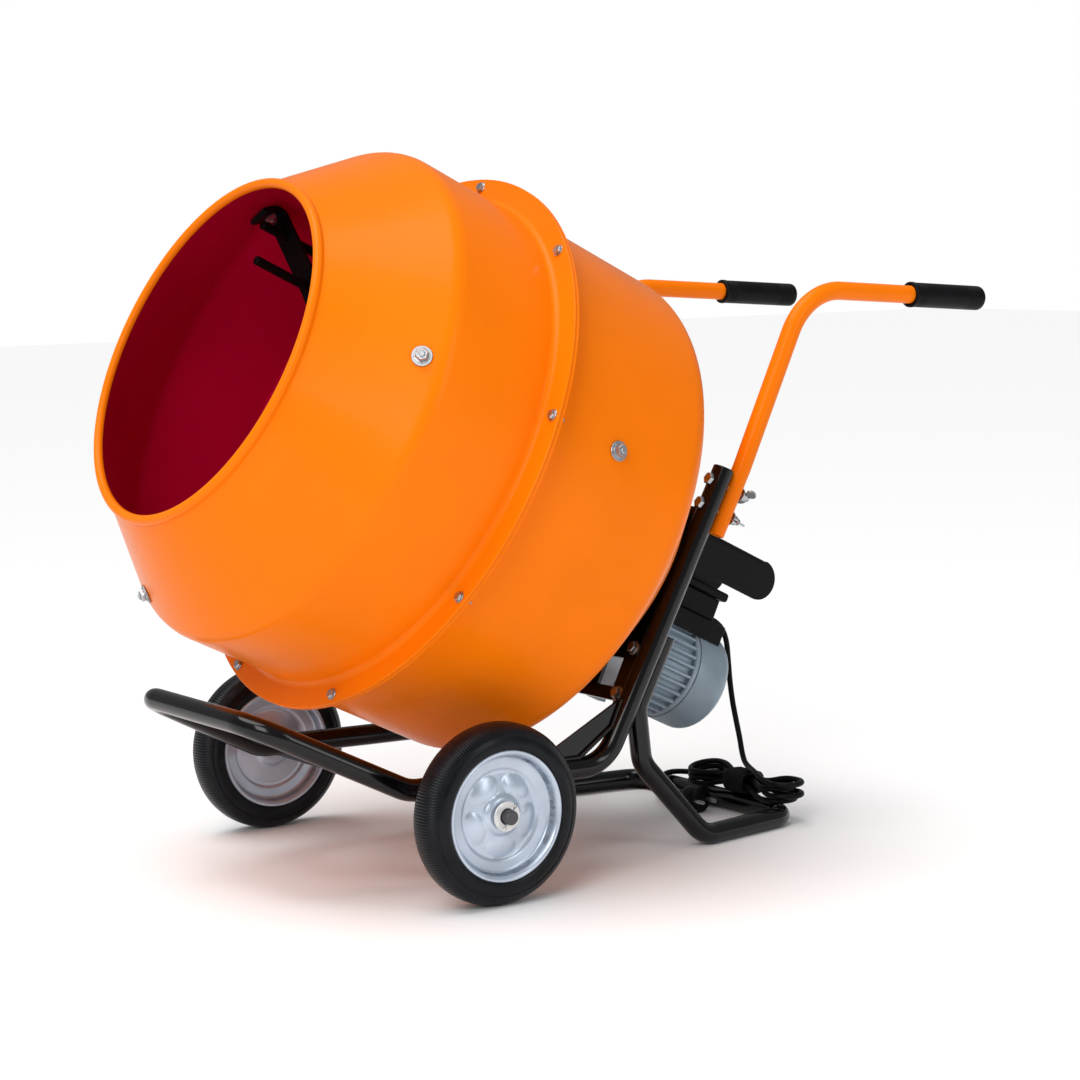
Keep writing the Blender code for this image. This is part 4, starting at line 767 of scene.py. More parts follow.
def make_stand():
    floor = FRAME_TUBE / 2 - FOOT_WEAR / 2
    behind, inward = STAND_BEHIND, STAND_INWARD
    corners = []
    for side in (1, -1):
        leg = [*[upright_point(side, up, behind, inward) for up in STAND_JOINS],
               world(side * 0.158, 0.286, 0.108), world(side * 0.172, 0.366, floor),
               world(side * 0.148, 0.519, floor)]
        corners += leg if side == 1 else list(reversed(leg))
    tube = sweep(rounded_path(corners, STAND_BEND), FRAME_TUBE / 2 - 0.0003, 32)
    piece("stand_tube", tube, BLACK, STILL, "rear_stand", soften=0.0012, angle=60)
    beads = []
    for side in (1, -1):
        for up in STAND_JOINS:
            for edge in (1, -1):
                start = upright_point(side, up + 0.002, behind * 0.5, inward * 0.5 + edge * 0.0095)
                end = upright_point(side, up - 0.03, behind * 0.5, inward * 0.5 + edge * 0.0095)
                beads.append((bead_row([start, end], 0.0032, 0.0032), STILL))
    piece("stand_welds", joined(beads), BLACK, STILL, angle=70)


def make_gussets():
    """The triangular plates inside the lower bends, with their weld beads."""
    clear = FRAME_TUBE / 2 + 0.0002
    stand_up = Matrix(((0, 0, 1, 0), (1, 0, 0, 0), (0, 1, 0, 0), (0, 0, 0, 1)))
    for side, name in SIDES:
        x = side * upright_x(-0.22)
        corners = [drum_world(x, up, UPRIGHT_BACK - clear) for up in (-0.178, -0.212)]
        corners += [world(x, y, main_tube_z(y) + clear + more)
                    for y, more in ((0.19, 0.0012), (0.128, 0.0))]
        board = prism([(point.y, point.z) for point in corners], 0.004)
        piece("gusset_plate_" + name, board, BLACK, move((x, 0, 0)) @ stand_up, "gusset_" + name,
              soften=0.0006)
        beads = []
        for edge in (1, -1):
            shift = Vector((edge * 0.0035, 0, 0))
            path = [corner + shift for corner in corners]
            beads.append((bead_row(path, 0.003, 0.0036, edge), STILL))
        piece("gusset_welds_" + name, joined(beads), BLACK, STILL, angle=70)


PLATE_THICKNESS = 0.006
PLATE_BACK = GEARCASE_BACK - GAP - PLATE_THICKNESS / 2
PLATE_BOLT_UPS = (-0.171, -0.114, 0.05)
PLATE_BOLT_X = 0.143


def case_bolt_spots():
    return [(side * 0.08, up) for side in (1, -1) for up in (0.064, -0.086)] + [(0.0, -0.156)]


def make_carrier():
    low, high = -0.18, 0.066

    def edge(up):
        return upright_x(up) - FRAME_TUBE / 2 - 0.001

    outline = [(-edge(low), low), (edge(low), low), (edge(high), high), (-edge(high), high)]
    holes = [arc((0.0, 0.0), 0.0335, 0.0, 2 * pi, 48)[:-1]]
    for side in (1, -1):
        near, far = sorted((side * 0.098, side * 0.13))
        holes.append([(near, -0.164), (far, -0.164), (far, -0.128), (near, -0.128)])
    piece("carrier_plate", prism(outline, PLATE_THICKNESS, holes), BLACK, at_drum(0, 0, PLATE_BACK),
          "mounting_plate", soften=0.0008)
    heads = []
    front = PLATE_BACK - PLATE_THICKNESS / 2
    for side in (1, -1):
        for up in PLATE_BOLT_UPS:
            heads += stack(move(drum_frame(side * PLATE_BOLT_X, up, front - 0.0002)),
                           (washer_mesh(0.0088, 0.004, 0.0013), 0),
                           (hex_head(0.0072, 0.005), 0.0012))
            tail = move(drum_frame(side * PLATE_BOLT_X, up, front + 0.0165)) @ turn(pi, "X")
            heads += stack(tail, (hex_head(0.0072, 0.0045), -0.0045))
    for x, up in case_bolt_spots():
        heads.append((hex_head(0.007, 0.005), move(drum_frame(x, up, front - 0.0002))))
    piece("carrier_bolts", joined(heads), ZINC, DRUM)


# ---------------------------------------------------------------- wheels
def make_wheel(side, name):
    centre = world(side * WHEEL_X, AXLE_BACK, AXLE_Z)
    axis = move(centre) @ turn(side * pi / 2, "Y")
    body = "wheel_" + name
    half = TYRE_WIDTH / 2
    outer_side = at(RIM_RADIUS, half, (-1.2, -4), (0.8, -1.2), (3, -0.2), (6, 0), (10, -0.4))
    outer_side += at(0, half, (85.5, -1.2), (87.2, -2.4), (88.2, -2.6), (89.2, -2), (92.2, -3.6),
                     (95.5, -6.2), (98.2, -9.8), (100, -14), (100.8, -18.5))
    outer_side.append((TYRE_RADIUS, half - 0.0228))
    other = [(radius, -height) for radius, height in reversed(outer_side)]
    piece("tyre_tread_" + name, lathe(outer_side + other, 120), TYRE, axis, "tyre_" + name,
          body=body, angle=28, own_axis=True)

    press = mm((10.5, 15), (18, 15), (20, 14.2), (22.2, 11.8), (24.5, 10))
    dish = [(0.0265 + 0.0185 * step / 12, 0.0096 - 0.0036 * step / 12) for step in range(13)]
    press += dish + mm((48, 6), (49.6, 6.6), (51, 8.2), (52.6, 8.8), (61, 8.8), (62.8, 9.4),
                       (64, 10.8), (66.8, 19.2), (68.2, 21.2), (70, 22), (71.8, 21.6), (72.7, 20))
    back = [(radius - 0.0006, height - 0.0018) for radius, height in reversed(press)]
    disc_mesh = lathe(press + back, 160)
    emboss_disc(disc_mesh)
    piece("rim_disc_" + name, disc_mesh, RIM_SILVER, axis, "rim_" + name, body=body, angle=40)
    inner_mesh = lathe(press + back, 96)
    piece("rim_inner_" + name, inner_mesh, RIM_SILVER, axis @ turn(pi, "X"), body=body, angle=40)
    tube = lathe(mm((13, 19), (13, -19), (9.2, -19), (9.2, 19)), 40)
    piece("wheel_bush_" + name, tube, STEEL, axis, body=body, slot="rim_silver")


def emboss_disc(mesh):
    """Presses five raised teardrops into the dish."""
    inner, outer, lobe = 0.024, 0.047, 2 * pi / 5
    for vertex in mesh.vertices:
        radius = hypot(vertex.co.x, vertex.co.y)
        away = (atan2(vertex.co.y, vertex.co.x) + lobe / 2) % lobe - lobe / 2
        if inner < radius < outer:
            share = (radius - inner) / (outer - inner)
            half_width = 0.18 + 0.34 * sin(pi * min(share * 0.75 + 0.1, 1.0))
            if abs(away) < half_width:
                swell = max(sin(pi * share), 0.0) ** 0.5
                swell *= cos(pi * away / (2 * half_width)) ** 0.6
                vertex.co.z += 0.0026 * swell


def make_axle():
    length = WHEEL_X + 0.0315
    bar = disc(AXLE_RADIUS, 2 * length, -length, 32, 0.12)
    along_x = turn(pi / 2, "Y")
    # The axle bar's near-black colour is partly painted shade at the centre of each wheel's hub.
    piece("axle_bar", bar, DARK_STEEL_AND_SHADE, move(world(0, AXLE_BACK, AXLE_Z)) @ along_x, "axle")
    for side, name in SIDES:
        spot = world(side * (WHEEL_X + 0.0196), AXLE_BACK, AXLE_Z)
        seat = move(spot) @ turn(side * pi / 2, "Y")
        washer = lathe(mm((16.2, 1.8), (16.5, 1.4), (16.5, 0), (9.2, 0), (9.2, 1.8)), 48)
        piece("washer_" + name, washer, WASHER, seat, "axle_washer_" + name)
        pin_x = side * (WHEEL_X + 0.0262)
        legs = []
        for shift in (0.0007, -0.0007):
            leg = [(shift, 0, 0.0115), (shift, 0, -0.01), (shift * 4.0, 0, -0.0142)]
            legs.append((sweep(leg, 0.0006, 8), STILL))
        ring = arc((0.0, 0.0), 0.0026, radians(-60), radians(240), 14)
        eye = [(x, 0.0, z + 0.0138) for x, z in ring]
        legs.append((sweep(eye, 0.0007, 8), STILL))
        turned_pin = move(world(pin_x, AXLE_BACK, AXLE_Z)) @ turn(radians(-32), "X")
        piece("split_pin_" + name, joined(legs), STEEL, turned_pin, "cotter_pin_" + name)


# ---------------------------------------------------------------- handles
HANDLE_BEHIND = FRAME_TUBE / 2 + HANDLE_TUBE / 2 + 0.0005
HANDLE_LOW = 0.042
HANDLE_BOLT_UPS = (0.098, 0.068)
HANDLE_BEND = (0.187, 0.5144, 0.653)
HANDLE_END = (0.178, 0.804, 0.6338)


def make_handle(side, name):
    low = upright_point(side, HANDLE_LOW, HANDLE_BEHIND)
    high = upright_point(side, UPRIGHT_TOP + 0.01, HANDLE_BEHIND)
    bend = world(side * HANDLE_BEND[0], *HANDLE_BEND[1:])
    end = world(side * HANDLE_END[0], *HANDLE_END[1:])
    back = (end - bend).normalized()
    path = [low, high] + rounded_path([high, bend, end - back * 0.006], HANDLE_BEND_RADIUS,
                                      radians(3))[1:]
    tube = sweep(path, HANDLE_TUBE / 2, 28)
    piece("handle_tube_" + name, tube, ORANGE, STILL, "handle_" + name, soften=0.001, angle=60)
    make_grip(end, back, name)


def make_grip(end, back, name):
    """A moulded sleeve with fine rings near both ends and a domed tip."""
    outer = GRIP_DIAMETER / 2
    tip = arc((outer - 0.0045, -0.0045), 0.0045, pi / 2, 0.0, 6)
    profile = [(0.0, 0.0)] + tip
    groove = mm((0, 0.6), (0.5, 0), (0, -0.6))
    profile += ribs(6, -0.01, 0.0035, outer, 0, groove)
    profile += ribs(4, 0.018 - GRIP_LENGTH, 0.0035, outer, 0, groove)
    collar = outer + 0.0006
    bore = HANDLE_TUBE / 2 + 0.0002
    profile += at(collar, -GRIP_LENGTH, (-0.6, 5.5), (0, 4.5), (0, 1), (-1, 0))
    profile += [(bore, -GRIP_LENGTH), (bore, -0.0045), (0.0, -0.0045)]
    piece("grip_sleeve_" + name, lathe(profile, 48), GRIP, facing(end, back), "grip_" + name,
          angle=30)


def make_handle_bolts():
    reach = FRAME_TUBE + HANDLE_TUBE + 0.0013
    for side, side_name in SIDES:
        for up, row in zip(HANDLE_BOLT_UPS, ("upper", "lower")):
            head = upright_point(side, up, -FRAME_TUBE / 2 - 0.0004)
            backward = (upright_point(side, up, 0.1) - upright_point(side, up)).normalized()
            seat = facing(head, -backward)
            shank = disc(0.0039, reach + 0.0145, -reach - 0.0145, 16)
            shapes = stack(seat, (hex_head(0.0075, 0.0048), 0), (shank, 0))
            collar = lathe(at(0, -reach, (0, 0), (8.5, 0), (8.5, -1.2), (6.8, -1.6), (5.5, -9),
                              (4.5, -10), (0, -10)), 28)
            shapes.append((collar, seat))
            spin = turn(radians(25 if row == "upper" else -15), "Z")
            for lobe in (1, -1):
                ear = prism(arc((0.0, 0.0), 0.0062, 0, 2 * pi, 24)[:-1], 0.0024)
                upright_ear = turn(pi / 2, "X")
                tilt = turn(radians(28) * lobe, "Y")
                shift = move((lobe * 0.0105, 0, -reach - 0.0095))
                oval = Matrix.Diagonal((0.85, 1.35, 1, 1))
                shapes.append((ear, seat @ spin @ shift @ tilt @ upright_ear @ oval))
            piece("wing_bolt_%s_%s" % (side_name, row), joined(shapes), ZINC, STILL,
                  "handle_bolt_%s_%s" % (side_name, row), soften=0.0003)


# ---------------------------------------------------------------- gear case and motor
GEARCASE_HALF_WIDTH = 0.094
GEARCASE_TOP = 0.078
GEARCASE_BOTTOM = -0.168


def case_outline(margin):
    half = GEARCASE_HALF_WIDTH + margin
    top = GEARCASE_TOP + margin
    low = GEARCASE_BOTTOM - margin
    corner = 0.03 + margin
    low_corner = 0.055 + margin
    return (arc((half - corner, top - corner), corner, 0, pi / 2, 10)
            + arc((-half + corner, top - corner), corner, pi / 2, pi, 10)
            + arc((-half + low_corner, low + low_corner), low_corner, pi, 1.5 * pi, 14)
            + arc((half - low_corner, low + low_corner), low_corner, 1.5 * pi, 2 * pi, 14))


def make_gear_case():
    front = prism(case_outline(0.0), CASE_SPLIT)
    piece("case_front", front, CASE_SILVER, at_drum(0, 0, GEARCASE_BACK + CASE_SPLIT / 2 + GAP),
          "gearbox_housing", soften=0.0022, segments=3)
    depth = GEARCASE_DEPTH - CASE_SPLIT - GAP
    cover_back = GEARCASE_BACK + CASE_SPLIT + GAP + depth / 2
    shapes = [(prism(case_outline(0.0), 0.006), lift(depth / 2 - 0.003)),
              (prism(case_outline(-0.007), depth), STILL)]
    for x, up in cover_screw_spots():
        shapes.append((disc(0.0085, depth - 0.001, -depth / 2, 28, 0.1), move((x, up, 0))))
    shapes.append((disc(0.0275, 0.0035, -depth / 2 - 0.0025, 48, 0.2), STILL))
    piece("case_cover", joined(shapes), CASE_SILVER, at_drum(0, 0, cover_back), "gearbox_cover",
          soften=0.0014)
    make_screws("case_screws", cover_screw_spots(), GEARCASE_BACK + GEARCASE_DEPTH - 0.0012)


def make_screws(name, spots, back):
    """Small screws whose heads face the motor's end, at spots in (x, up)."""
    heads = [(hex_head(0.0055, 0.0035), move(drum_frame(x, up, back)) @ turn(pi, "X"))
             for x, up in spots]
    piece(name, joined(heads), ZINC, DRUM)


def cover_screw_spots():
    """Screws round the cover's rim, in (x, up)."""
    half = GEARCASE_HALF_WIDTH - 0.0095
    spots = [(side * half, up) for side in (1, -1) for up in (0.045, -0.03, -0.095)]
    return spots + [(side * 0.045, GEARCASE_BOTTOM + 0.011) for side in (1, -1)]


def fin_outline(outer, root, fins):
    """The ribbed housing's section: round-topped fins with hollows between."""
    flank = [(0.34, root), (0.2, root + 0.0008), (0.15, outer - 0.0008), (0.09, outer)]
    section = [(-share, radius) for share, radius in flank] + flank[::-1]
    points = []
    for fin in range(fins):
        middle = 2 * pi * (fin + 0.5) / fins
        for share, radius in section:
            angle = middle + share * 2 * pi / fins
            points.append((radius * cos(angle), radius * sin(angle)))
    return points


def make_motor():
    axis = DRUM @ move(drum_frame(0, -MOTOR_DROP, MOTOR_BACK))
    length = STATOR_LENGTH - 2 * MOTOR_RING
    fins = prism(fin_outline(MOTOR_RADIUS, MOTOR_RADIUS - FIN_DEPTH, MOTOR_FINS), length)
    piece("motor_ribs", fins, MOTOR_PAINT, axis @ lift(-MOTOR_RING - length / 2),
          "stator_housing", soften=0.0004)
    flange = lathe([(0.0, -GAP), (MOTOR_RADIUS + 0.0005, -GAP), (MOTOR_RADIUS + 0.001, -0.001),
                    (MOTOR_RADIUS + 0.001, -0.006), (MOTOR_RADIUS - 0.001, -0.0075),
                    (0.0, -0.0075)], 80)
    piece("motor_front_ring", flange, MOTOR_PAINT, axis, "motor_flange")
    rear = -STATOR_LENGTH
    ring = lathe([(0.0, rear + 0.0072)] + at(MOTOR_RADIUS, rear, (-1.5, 7.2), (0, 6), (0, 0.8))
                 + [(0.0, rear + 0.0008)], 80)
    piece("motor_rear_ring", ring, MOTOR_PAINT, axis)
    start = -STATOR_LENGTH - GAP
    end = start - FAN_COVER_LENGTH
    outer = MOTOR_RADIUS + 0.001
    dome = arc((outer - 0.015, end + 0.015), 0.015, 0.0, -pi / 2, 12)
    cover = at(outer, start, (-2.2, 0), (-0.4, 0), (0, -0.6)) + dome
    cover += at(0, end, (26, 0), (25.5, 0.6), (25.5, 1.6)) + at(outer, end, (-16, 1.6), (-2.2, 17))
    piece("fan_cowl", lathe(cover, 96), MOTOR_PAINT, axis, "fan_cover", angle=40)
    bars = []
    for radius in (0.0075, 0.0135, 0.0195, 0.0255):
        ring_path = arc((0.0, 0.0), radius, 0, 2 * pi, 40)
        bars.append((sweep([(x, y, end + 0.001) for x, y in ring_path], 0.001, 8, False), STILL))
    for spoke in range(6):
        angle = pi * spoke / 3
        tip = (0.0258 * cos(angle), 0.0258 * sin(angle), end + 0.001)
        bars.append((sweep([(0, 0, end + 0.001), tip], 0.001, 8), STILL))
    piece("cowl_grille", joined(bars), MOTOR_PAINT, axis)
    foot = box_mesh((0.016, 0.01, 0.02))
    piece("motor_lug", foot, MOTOR_PAINT, axis @ move((0, -MOTOR_RADIUS - 0.0035, -0.02)),
          soften=0.0015)


# ---------------------------------------------------------------- switch box and hood
SWITCH_BACK = 0.7
SWITCH_BASE_REAR = 0.7895
SWITCH_BODY_REAR = 0.769
SWITCH_HALF = 0.044
BASE_TOP = -0.0262
LID_TOP = 0.0135
BUTTON_X = 0.02
BUTTON_UP = -0.011


def make_switch_box():
    saddle_low = -0.052
    length = SWITCH_BASE_REAR - SWITCH_BACK
    bed = MOTOR_RADIUS + 0.0018
    reach = atan2(SWITCH_HALF, saddle_low + MOTOR_DROP)
    inner = [(bed * sin(reach - 2 * reach * step / 16),
              bed * cos(reach - 2 * reach * step / 16) - MOTOR_DROP)
             for step in range(17)]
    saddle = [(-SWITCH_HALF, BASE_TOP), (SWITCH_HALF, BASE_TOP)]
    saddle += [(SWITCH_HALF, min(inner[0][1], BASE_TOP - 0.004))]
    saddle += [point for point in inner if abs(point[0]) < SWITCH_HALF - 0.0005]
    saddle += [(-SWITCH_HALF, min(inner[-1][1], BASE_TOP - 0.004))]
    piece("switch_saddle", prism(saddle, length), BOX_PLASTIC,
          at_drum(0, 0, SWITCH_BACK + length / 2), "switch_base", soften=0.0018, segments=3)
    body_length = SWITCH_BODY_REAR - SWITCH_BACK
    body_low, body_top = BASE_TOP + GAP, LID_TOP - 0.0115
    body = box_mesh((2 * SWITCH_HALF - 0.006, body_top - body_low, body_length))
    piece("switch_case", body, BOX_PLASTIC,
          at_drum(0, (body_top + body_low) / 2, SWITCH_BACK + body_length / 2), "switch_box",
          "run_capacitor", soften=0.0025, segments=3)
    lid_low = body_top + GAP
    lid_length = body_length + 0.009
    lid = box_mesh((2 * SWITCH_HALF, LID_TOP - lid_low, lid_length))
    piece("switch_cap", lid, BOX_PLASTIC,
          at_drum(0, (LID_TOP + lid_low) / 2, SWITCH_BACK + lid_length / 2), "switch_lid",
          soften=0.0035, segments=4)
    for name, x, colour in (("start", BUTTON_X, GREEN), ("stop", -BUTTON_X, RED)):
        cap = lathe(mm((0, 4), (6, 4), (6, -4.8), (5.5, -5.8), (3, -6.2), (0, -6.2)), 32)
        piece(name + "_cap", cap, colour, at_drum(x, BUTTON_UP, SWITCH_BODY_REAR), name + "_button",
              body=name + "_push")
        bezel = lathe(mm((8.2, -1.4), (8.6, -0.4), (8.6, 1), (6.8, 1), (6.8, -1.4)), 32)
        piece(name + "_bezel", bezel, BOX_PLASTIC, at_drum(x, BUTTON_UP, SWITCH_BODY_REAR))


HOOD_HALF = 0.05
HOOD_TOP = 0.0715
HOOD_REAR = 0.834


def make_hood():
    """One folded sheet: a roof with rounded folds, round-ended cheeks and a fixing flange."""
    sheet = 0.0025
    fold = 0.006
    side_low, root_low = 0.0213, 0.0155
    front = MOTOR_BACK + 0.0002
    radius = (HOOD_TOP - side_low) / 2
    roof_end = HOOD_REAR - radius
    cheek = [(front, HOOD_TOP - fold), (front, root_low), (0.737, root_low), (0.741, side_low)]
    cheek += [(roof_end + radius * sin(angle), HOOD_TOP - radius - radius * cos(angle))
              for angle in [pi * step / 28 for step in range(28)]]
    cheek += [(roof_end, HOOD_TOP - 0.0004), (roof_end - 0.004, HOOD_TOP - fold)]
    to_side = Matrix(((0, 0, 1, 0), (0, 1, 0, 0), (-1, 0, 0, 0), (0, 0, 0, 1)))
    shapes = []
    for side in (1, -1):
        place = move((side * (HOOD_HALF - sheet / 2), 0, 0))
        shapes.append((prism(cheek, sheet), place @ to_side))
    outer = (arc((HOOD_HALF - fold, HOOD_TOP - fold), fold, 0.0, pi / 2, 8)
             + arc((fold - HOOD_HALF, HOOD_TOP - fold), fold, pi / 2, pi, 8))
    inner = [(x * (HOOD_HALF - sheet) / HOOD_HALF, up - sheet) for x, up in reversed(outer)]
    inner[0] = (sheet - HOOD_HALF, HOOD_TOP - fold)
    inner[-1] = (HOOD_HALF - sheet, HOOD_TOP - fold)
    roof = prism(outer + inner, roof_end - front)
    shapes.append((roof, move(drum_frame(0, 0, (front + roof_end) / 2))))
    piece("hood_sheet", joined(shapes), SATIN_BLACK, DRUM, "motor_hood", soften=0.0006, angle=40)
    flange = box_mesh((2 * HOOD_HALF - 0.006, 0.034, sheet))
    piece("hood_flange", flange, SATIN_BLACK, at_drum(0, HOOD_TOP - 0.019, front + sheet / 2),
          soften=0.0006)
    make_screws("hood_bolts", [(-0.03, 0.056), (0.03, 0.056)], MOTOR_BACK + sheet)


# ---------------------------------------------------------------- cord
GLAND_X = 0.006
GLAND_UP = -0.018
GLAND_LENGTH = 0.022
CORD_HANG = mm((6.2, 530, 226), (6.6, 537, 209), (7.8, 539, 185), (10.5, 539.5, 158),
               (15, 540, 132), (21.5, 540.5, 108), (28.5, 540, 88), (38.5, 535.5, 72),
               (53, 528, 62.5))
CORD_TAIL = mm((-35, 542.5, 29.3), (-56, 540.5, 29.3), (-74, 532, 29.3), (-83.5, 517, 29.2),
               (-82, 500, 26.2), (-74, 486, 21.5), (-60, 477.5, 18), (-46, 474.5, 17),
               (-33, 474, 17.1))


def smooth_points(points, spacing):
    """Even points along a smooth curve through the given ones."""
    points = [Vector(point) for point in points]
    padded = [2 * points[0] - points[1]] + points + [2 * points[-1] - points[-2]]
    dense = []
    for a, b, c, d in zip(padded, padded[1:], padded[2:], padded[3:]):
        for step in range(12):
            t = step / 12
            dense.append(0.5 * ((2 * b) + (c - a) * t + (2 * a - 5 * b + 4 * c - d) * t * t
                                + (3 * b - a - 3 * c + d) * t ** 3))
    dense.append(points[-1])
    lengths = [0.0]
    for first, second in zip(dense, dense[1:]):
        lengths.append(lengths[-1] + (second - first).length)
    count = max(2, round(lengths[-1] / spacing))
    even, index = [], 0
    for step in range(count + 1):
        target = lengths[-1] * step / count
        while index < len(lengths) - 2 and lengths[index + 1] < target:
            index += 1
        share = (target - lengths[index]) / (lengths[index + 1] - lengths[index])
        even.append(dense[index].lerp(dense[index + 1], min(max(share, 0.0), 1.0)))
    return even


CORD_PITCH = CORD_DIAMETER + 0.00015
HANK_MIDDLE_Z = FRAME_TUBE + GAP + 2 * CORD_PITCH
FOLD_RADIUS = HANK_WIDTH / 2 - CORD_DIAMETER / 2
HANK_LEFT = HANK_WIDTH / 2 - HANK_LENGTH / 2
HANK_RIGHTS = [-HANK_LEFT - 0.012, -HANK_LEFT, -HANK_LEFT - 0.015, -HANK_LEFT]


def hank_run(layer, side, heading):
    """One straight run of the hank, squeezed in at the tie.  Layer 0 is the lowest."""
    signed = layer - 1.5
    right = HANK_RIGHTS[layer]
    points = []
    for step in range(33):
        x = HANK_LEFT + (right - HANK_LEFT) * step / 32
        near = min(max(min(x - HANK_LEFT, right - x) / 0.05, 0.0), 1.0)
        ease = near * near * (3 - 2 * near)
        inward = (FOLD_RADIUS - 1.5 * CORD_PITCH) * ease
        if abs(signed) < 1.0:
            y = FOLD_RADIUS - inward - CORD_PITCH * sin(pi / 2 * ease)
            z = signed * CORD_PITCH
        else:
            y = FOLD_RADIUS - inward
            z = (0.5 + cos(pi / 2 * ease)) * CORD_PITCH * (1 if signed > 0 else -1)
        points.append(world(HANK_CENTRE[0] + x, HANK_CENTRE[1] + side * y, HANK_MIDDLE_Z + z))
    return points if heading > 0 else list(reversed(points))


def hank_fold(end, layer_from, layer_to, side_from):
    """The half circle at one end of the hank, stepping between layers."""
    middle = HANK_RIGHTS[layer_from] if end > 0 else HANK_LEFT
    points = []
    for step in range(1, 16):
        share = step / 16
        x = middle + end * FOLD_RADIUS * sin(pi * share)
        y = side_from * FOLD_RADIUS * cos(pi * share)
        ease = share * share * (3 - 2 * share)
        z = (layer_from + (layer_to - layer_from) * ease - 1.5) * CORD_PITCH
        points.append(world(HANK_CENTRE[0] + x, HANK_CENTRE[1] + y, HANK_MIDDLE_Z + z))
    return points


def cord_route():
    """The cord's centre line: hanging stretch, the hank from the top down, then the tail."""
    rear = SWITCH_BODY_REAR + GAP
    top_z = HANK_MIDDLE_Z + 1.5 * CORD_PITCH
    over_tie = FRAME_TUBE + GAP + 0.0286 + CORD_DIAMETER / 2 + 0.0012
    leaving = [drum_world(GLAND_X, GLAND_UP, rear + GLAND_LENGTH + ahead) for ahead in (GAP, 0.008)]
    over = mm((70, 521, 0), (90, 512, -1), (113, 503.5, -5))
    drop = leaving + [world(*spot) for spot in CORD_HANG]
    drop += [world(x, y, over_tie + z) for x, y, z in over]
    drop.append(world(HANK_CENTRE[0] + HANK_RIGHTS[3], HANK_CENTRE[1] - FOLD_RADIUS, top_z))
    route = smooth_points(drop, 0.006)
    route += hank_fold(1, 3, 3, -1)
    route += hank_run(3, 1, -1)
    for layer in (2, 1, 0):
        route += hank_fold(-1, layer + 1, layer, 1)
        route += hank_run(layer, -1, 1)
        route += hank_fold(1, layer, layer, -1)
        route += hank_run(layer, 1, -1)
    x, y, z = PLUG_CENTRE
    tail = [route[-1]] + [world(*spot) for spot in CORD_TAIL]
    tail += [world(x - 0.032, y, z), world(x - 0.0246, y, z)]
    return route + smooth_points(tail, 0.006)[1:]


def make_cord():
    rear = SWITCH_BODY_REAR + GAP
    profile = mm((0, 0), (7.5, 0), (8, -0.6), (8, -3), (7.4, -3.6))
    profile += ribs(5, -0.005, 0.0032, 0.007, 0.00042,
                    mm((0, 1), (0, -0.6), (0.9, -0.8), (0.9, -1.8)))
    profile += [(0.0046, -GLAND_LENGTH), (0.0, -GLAND_LENGTH)]
    boot = piece("cord_boot", lathe(profile, 32), CORD_RUBBER, at_drum(GLAND_X, GLAND_UP, rear),
                 "strain_relief")

    route = cord_route()
    cord = poly_curve("mains_cord", "3D", [route])
    cord.data.bevel_depth = CORD_DIAMETER / 2
    cord.data.bevel_resolution = 5
    cord.data.use_fill_caps = True
    cord.data.materials.append(CORD_RUBBER)
    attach(cord, "machine")
    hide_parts("power_cord", "cord_hank", "cord_tail")

    wraps = []
    half_y = 2 * CORD_PITCH + 0.0034
    half_z = CORD_PITCH + 0.0045
    for step in range(TIE_WRAPS * 24 + 1):
        angle = 2 * pi * step / 24
        flat = (abs(cos(angle)) ** 3 + abs(sin(angle)) ** 3) ** (-1 / 3)
        x = TIE_X + 0.0064 * (step / 24 - TIE_WRAPS / 2)
        wraps.append(world(x, HANK_CENTRE[1] + half_y * flat * cos(angle),
                           HANK_MIDDLE_Z + half_z * flat * sin(angle)))
    tie = piece("cord_wraps", sweep(wraps, 0.003, 14), CORD_RUBBER, STILL, "cord_tie", angle=60)
    plug = make_plug()
    measured = sum((second - first).length for first, second in zip(route, route[1:]))
    print("cord route measures", round(measured, 4))


def make_plug():
    body = mm((0, 24), (15, 24), (16.2, 23.2), (16.5, 21.5), (16.5, 7), (15.5, 2), (12.5, -3.5),
              (9, -7.5))
    body += ribs(4, -0.01, 0.0034, 0.0068, 0.0004,
                 mm((0, 1), (0, -0.8), (0.9, -1), (0.9, -2.2)))
    body += [(0.0046, -0.024), (0.0, -0.024)]
    place = move(world(*PLUG_CENTRE)) @ turn(pi / 2, "Y")
    plug = piece("plug_body", lathe(body, 36), CORD_RUBBER, place, "mains_plug")
    pins = []
    for shift in (-0.0095, 0.0095):
        pin = lathe(mm((0, 18.5), (1.6, 18.5), (2.4, 17), (2.4, -2), (0, -2)), 20)
        pins.append((pin, move((0, shift, 0.024))))
    piece("plug_contacts", joined(pins), ZINC, place)
    return plug


# ---------------------------------------------------------------- hidden working pieces
def paint_hidden_nodes():
    """The pieces without a finished mesh keep their CAD shape and get a look."""
    looks = {"steel": STEEL, "winding": COPPER, "fan_plastic": BOX_PLASTIC,
             "motor_grey": MOTOR_PAINT}
    slots = {part["node"]: part["material_slot"] for part in frame["record"]["subparts"]}
    for name, node in frame["nodes"].items():
        look = looks.get(slots.get(name))
        if look and node.data:
            node.data.materials.clear()
            node.data.materials.append(look)


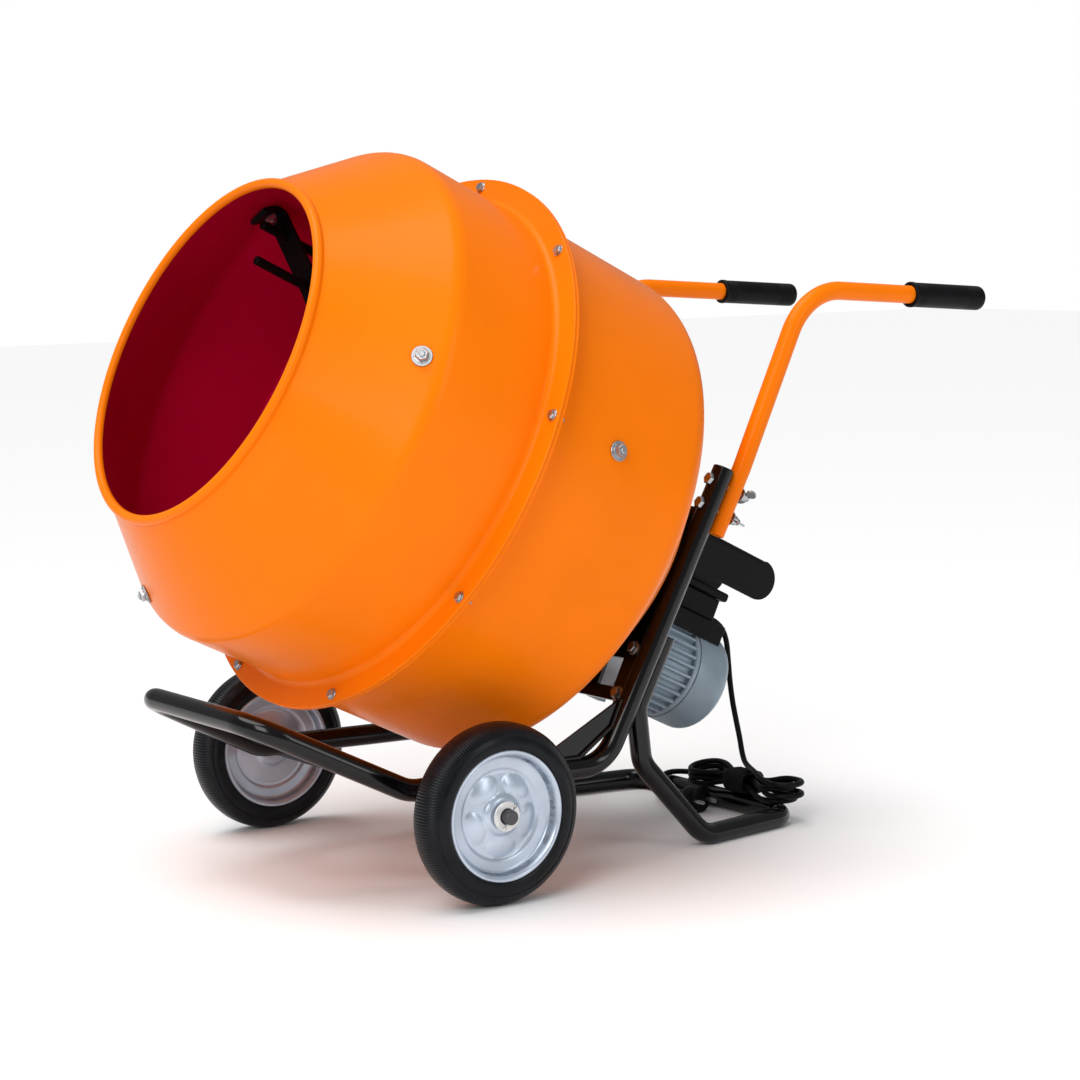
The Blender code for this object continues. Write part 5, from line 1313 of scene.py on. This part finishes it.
# ---------------------------------------------------------------- studio
FLOOR_HALF = 14.0
SKY_FILL = 0.3                    # the sky's light; the camera itself sees it white
SUN_ANGLE = radians(50)
LAMPS = [("overhead", (0.0, 0.0, 0.0), (0.15, 0.3, -1.0), None, 2.45),
         ("key", (2.2, -3.2, 2.6), (0.0, 0.0, 0.4), (1.8, 2.4), 70.0),
         ("side", (3.6, 1.0, 1.8), (0.0, 0.0, 0.4), (0.8, 2.4), 22.0)]
CAMERA_PLACE = (2.6232, -1.5907, 0.7315)
CAMERA_AZIMUTH, CAMERA_ELEVATION, CAMERA_ROLL = radians(55.02), radians(8.24), radians(-0.92)
CAMERA_LENS = 89.85
CAMERA_SHIFT = (0.0063, 0.0708)


def make_studio():
    build = bmesh.new()
    bmesh.ops.create_grid(build, x_segments=1, y_segments=1, size=FLOOR_HALF)
    floor = add_object("floor", finished(build, "floor", False))
    paint, nodes, _ = new_material("studio_floor")
    for label, value in (("Base Color", (0.93, 0.93, 0.93, 1.0)), ("Roughness", 0.75),
                         ("Specular IOR Level", 0.1)):
        nodes["Principled BSDF"].inputs[label].default_value = value
    floor.data.materials.append(paint)

    sky = bpy.data.worlds.new("studio")
    sky.use_nodes = True
    nodes, join = sky.node_tree.nodes, sky.node_tree.links.new
    backdrop, fill = nodes["Background"], nodes.new("ShaderNodeBackground")
    for background, strength in ((backdrop, 1.0), (fill, SKY_FILL)):
        background.inputs["Color"].default_value = (1.0, 1.0, 1.0, 1.0)
        background.inputs["Strength"].default_value = strength
    either = nodes.new("ShaderNodeMixShader")
    join(nodes.new("ShaderNodeLightPath").outputs["Is Camera Ray"], either.inputs["Fac"])
    join(fill.outputs["Background"], either.inputs[1])
    join(backdrop.outputs["Background"], either.inputs[2])
    join(either.outputs["Shader"], nodes["World Output"].inputs["Surface"])
    bpy.context.scene.world = sky
    bpy.context.scene.view_settings.view_transform = "Standard"
    for name, spot, aim, size, power in LAMPS:
        lamp = bpy.data.lights.new(name, "AREA" if size else "SUN")
        lamp.energy = power
        if size:
            lamp.shape = "RECTANGLE"
            lamp.size, lamp.size_y = size
        else:
            lamp.angle = SUN_ANGLE
        holder = add_object(name, lamp)
        holder.location = spot
        towards = Vector(aim) - Vector(spot)
        holder.rotation_euler = towards.to_track_quat("-Z", "Y").to_euler()


def make_camera():
    azimuth, elevation, roll = CAMERA_AZIMUTH, CAMERA_ELEVATION, CAMERA_ROLL
    back = Vector((sin(azimuth) * cos(elevation), -cos(azimuth) * cos(elevation), sin(elevation)))
    right = Vector((cos(azimuth), sin(azimuth), 0.0))
    up = back.cross(right)
    rolled_right = right * cos(roll) + up * sin(roll)
    rolled_up = up * cos(roll) - right * sin(roll)
    data = bpy.data.cameras.new("camera")
    data.sensor_width = 36.0
    data.lens = CAMERA_LENS
    data.shift_x, data.shift_y = CAMERA_SHIFT
    camera = add_object("camera", data)
    aimed = Matrix((rolled_right, rolled_up, back)).transposed().to_4x4()
    camera.matrix_world = move(world(*CAMERA_PLACE)) @ aimed
    bpy.context.scene.camera = camera


make_studio()
make_camera()
make_cord()
make_drum_front()
make_drum_rear()
make_seam()
make_flange_bolts()
make_blades()
make_blade_bolts()
make_hub()
make_main_frame()
make_stand()
make_gussets()
make_carrier()
make_axle()
for wheel_side, wheel_name in SIDES:
    make_wheel(wheel_side, wheel_name)
    make_handle(wheel_side, wheel_name)
make_handle_bolts()
make_gear_case()
make_motor()
make_switch_box()
make_hood()
paint_hidden_nodes()
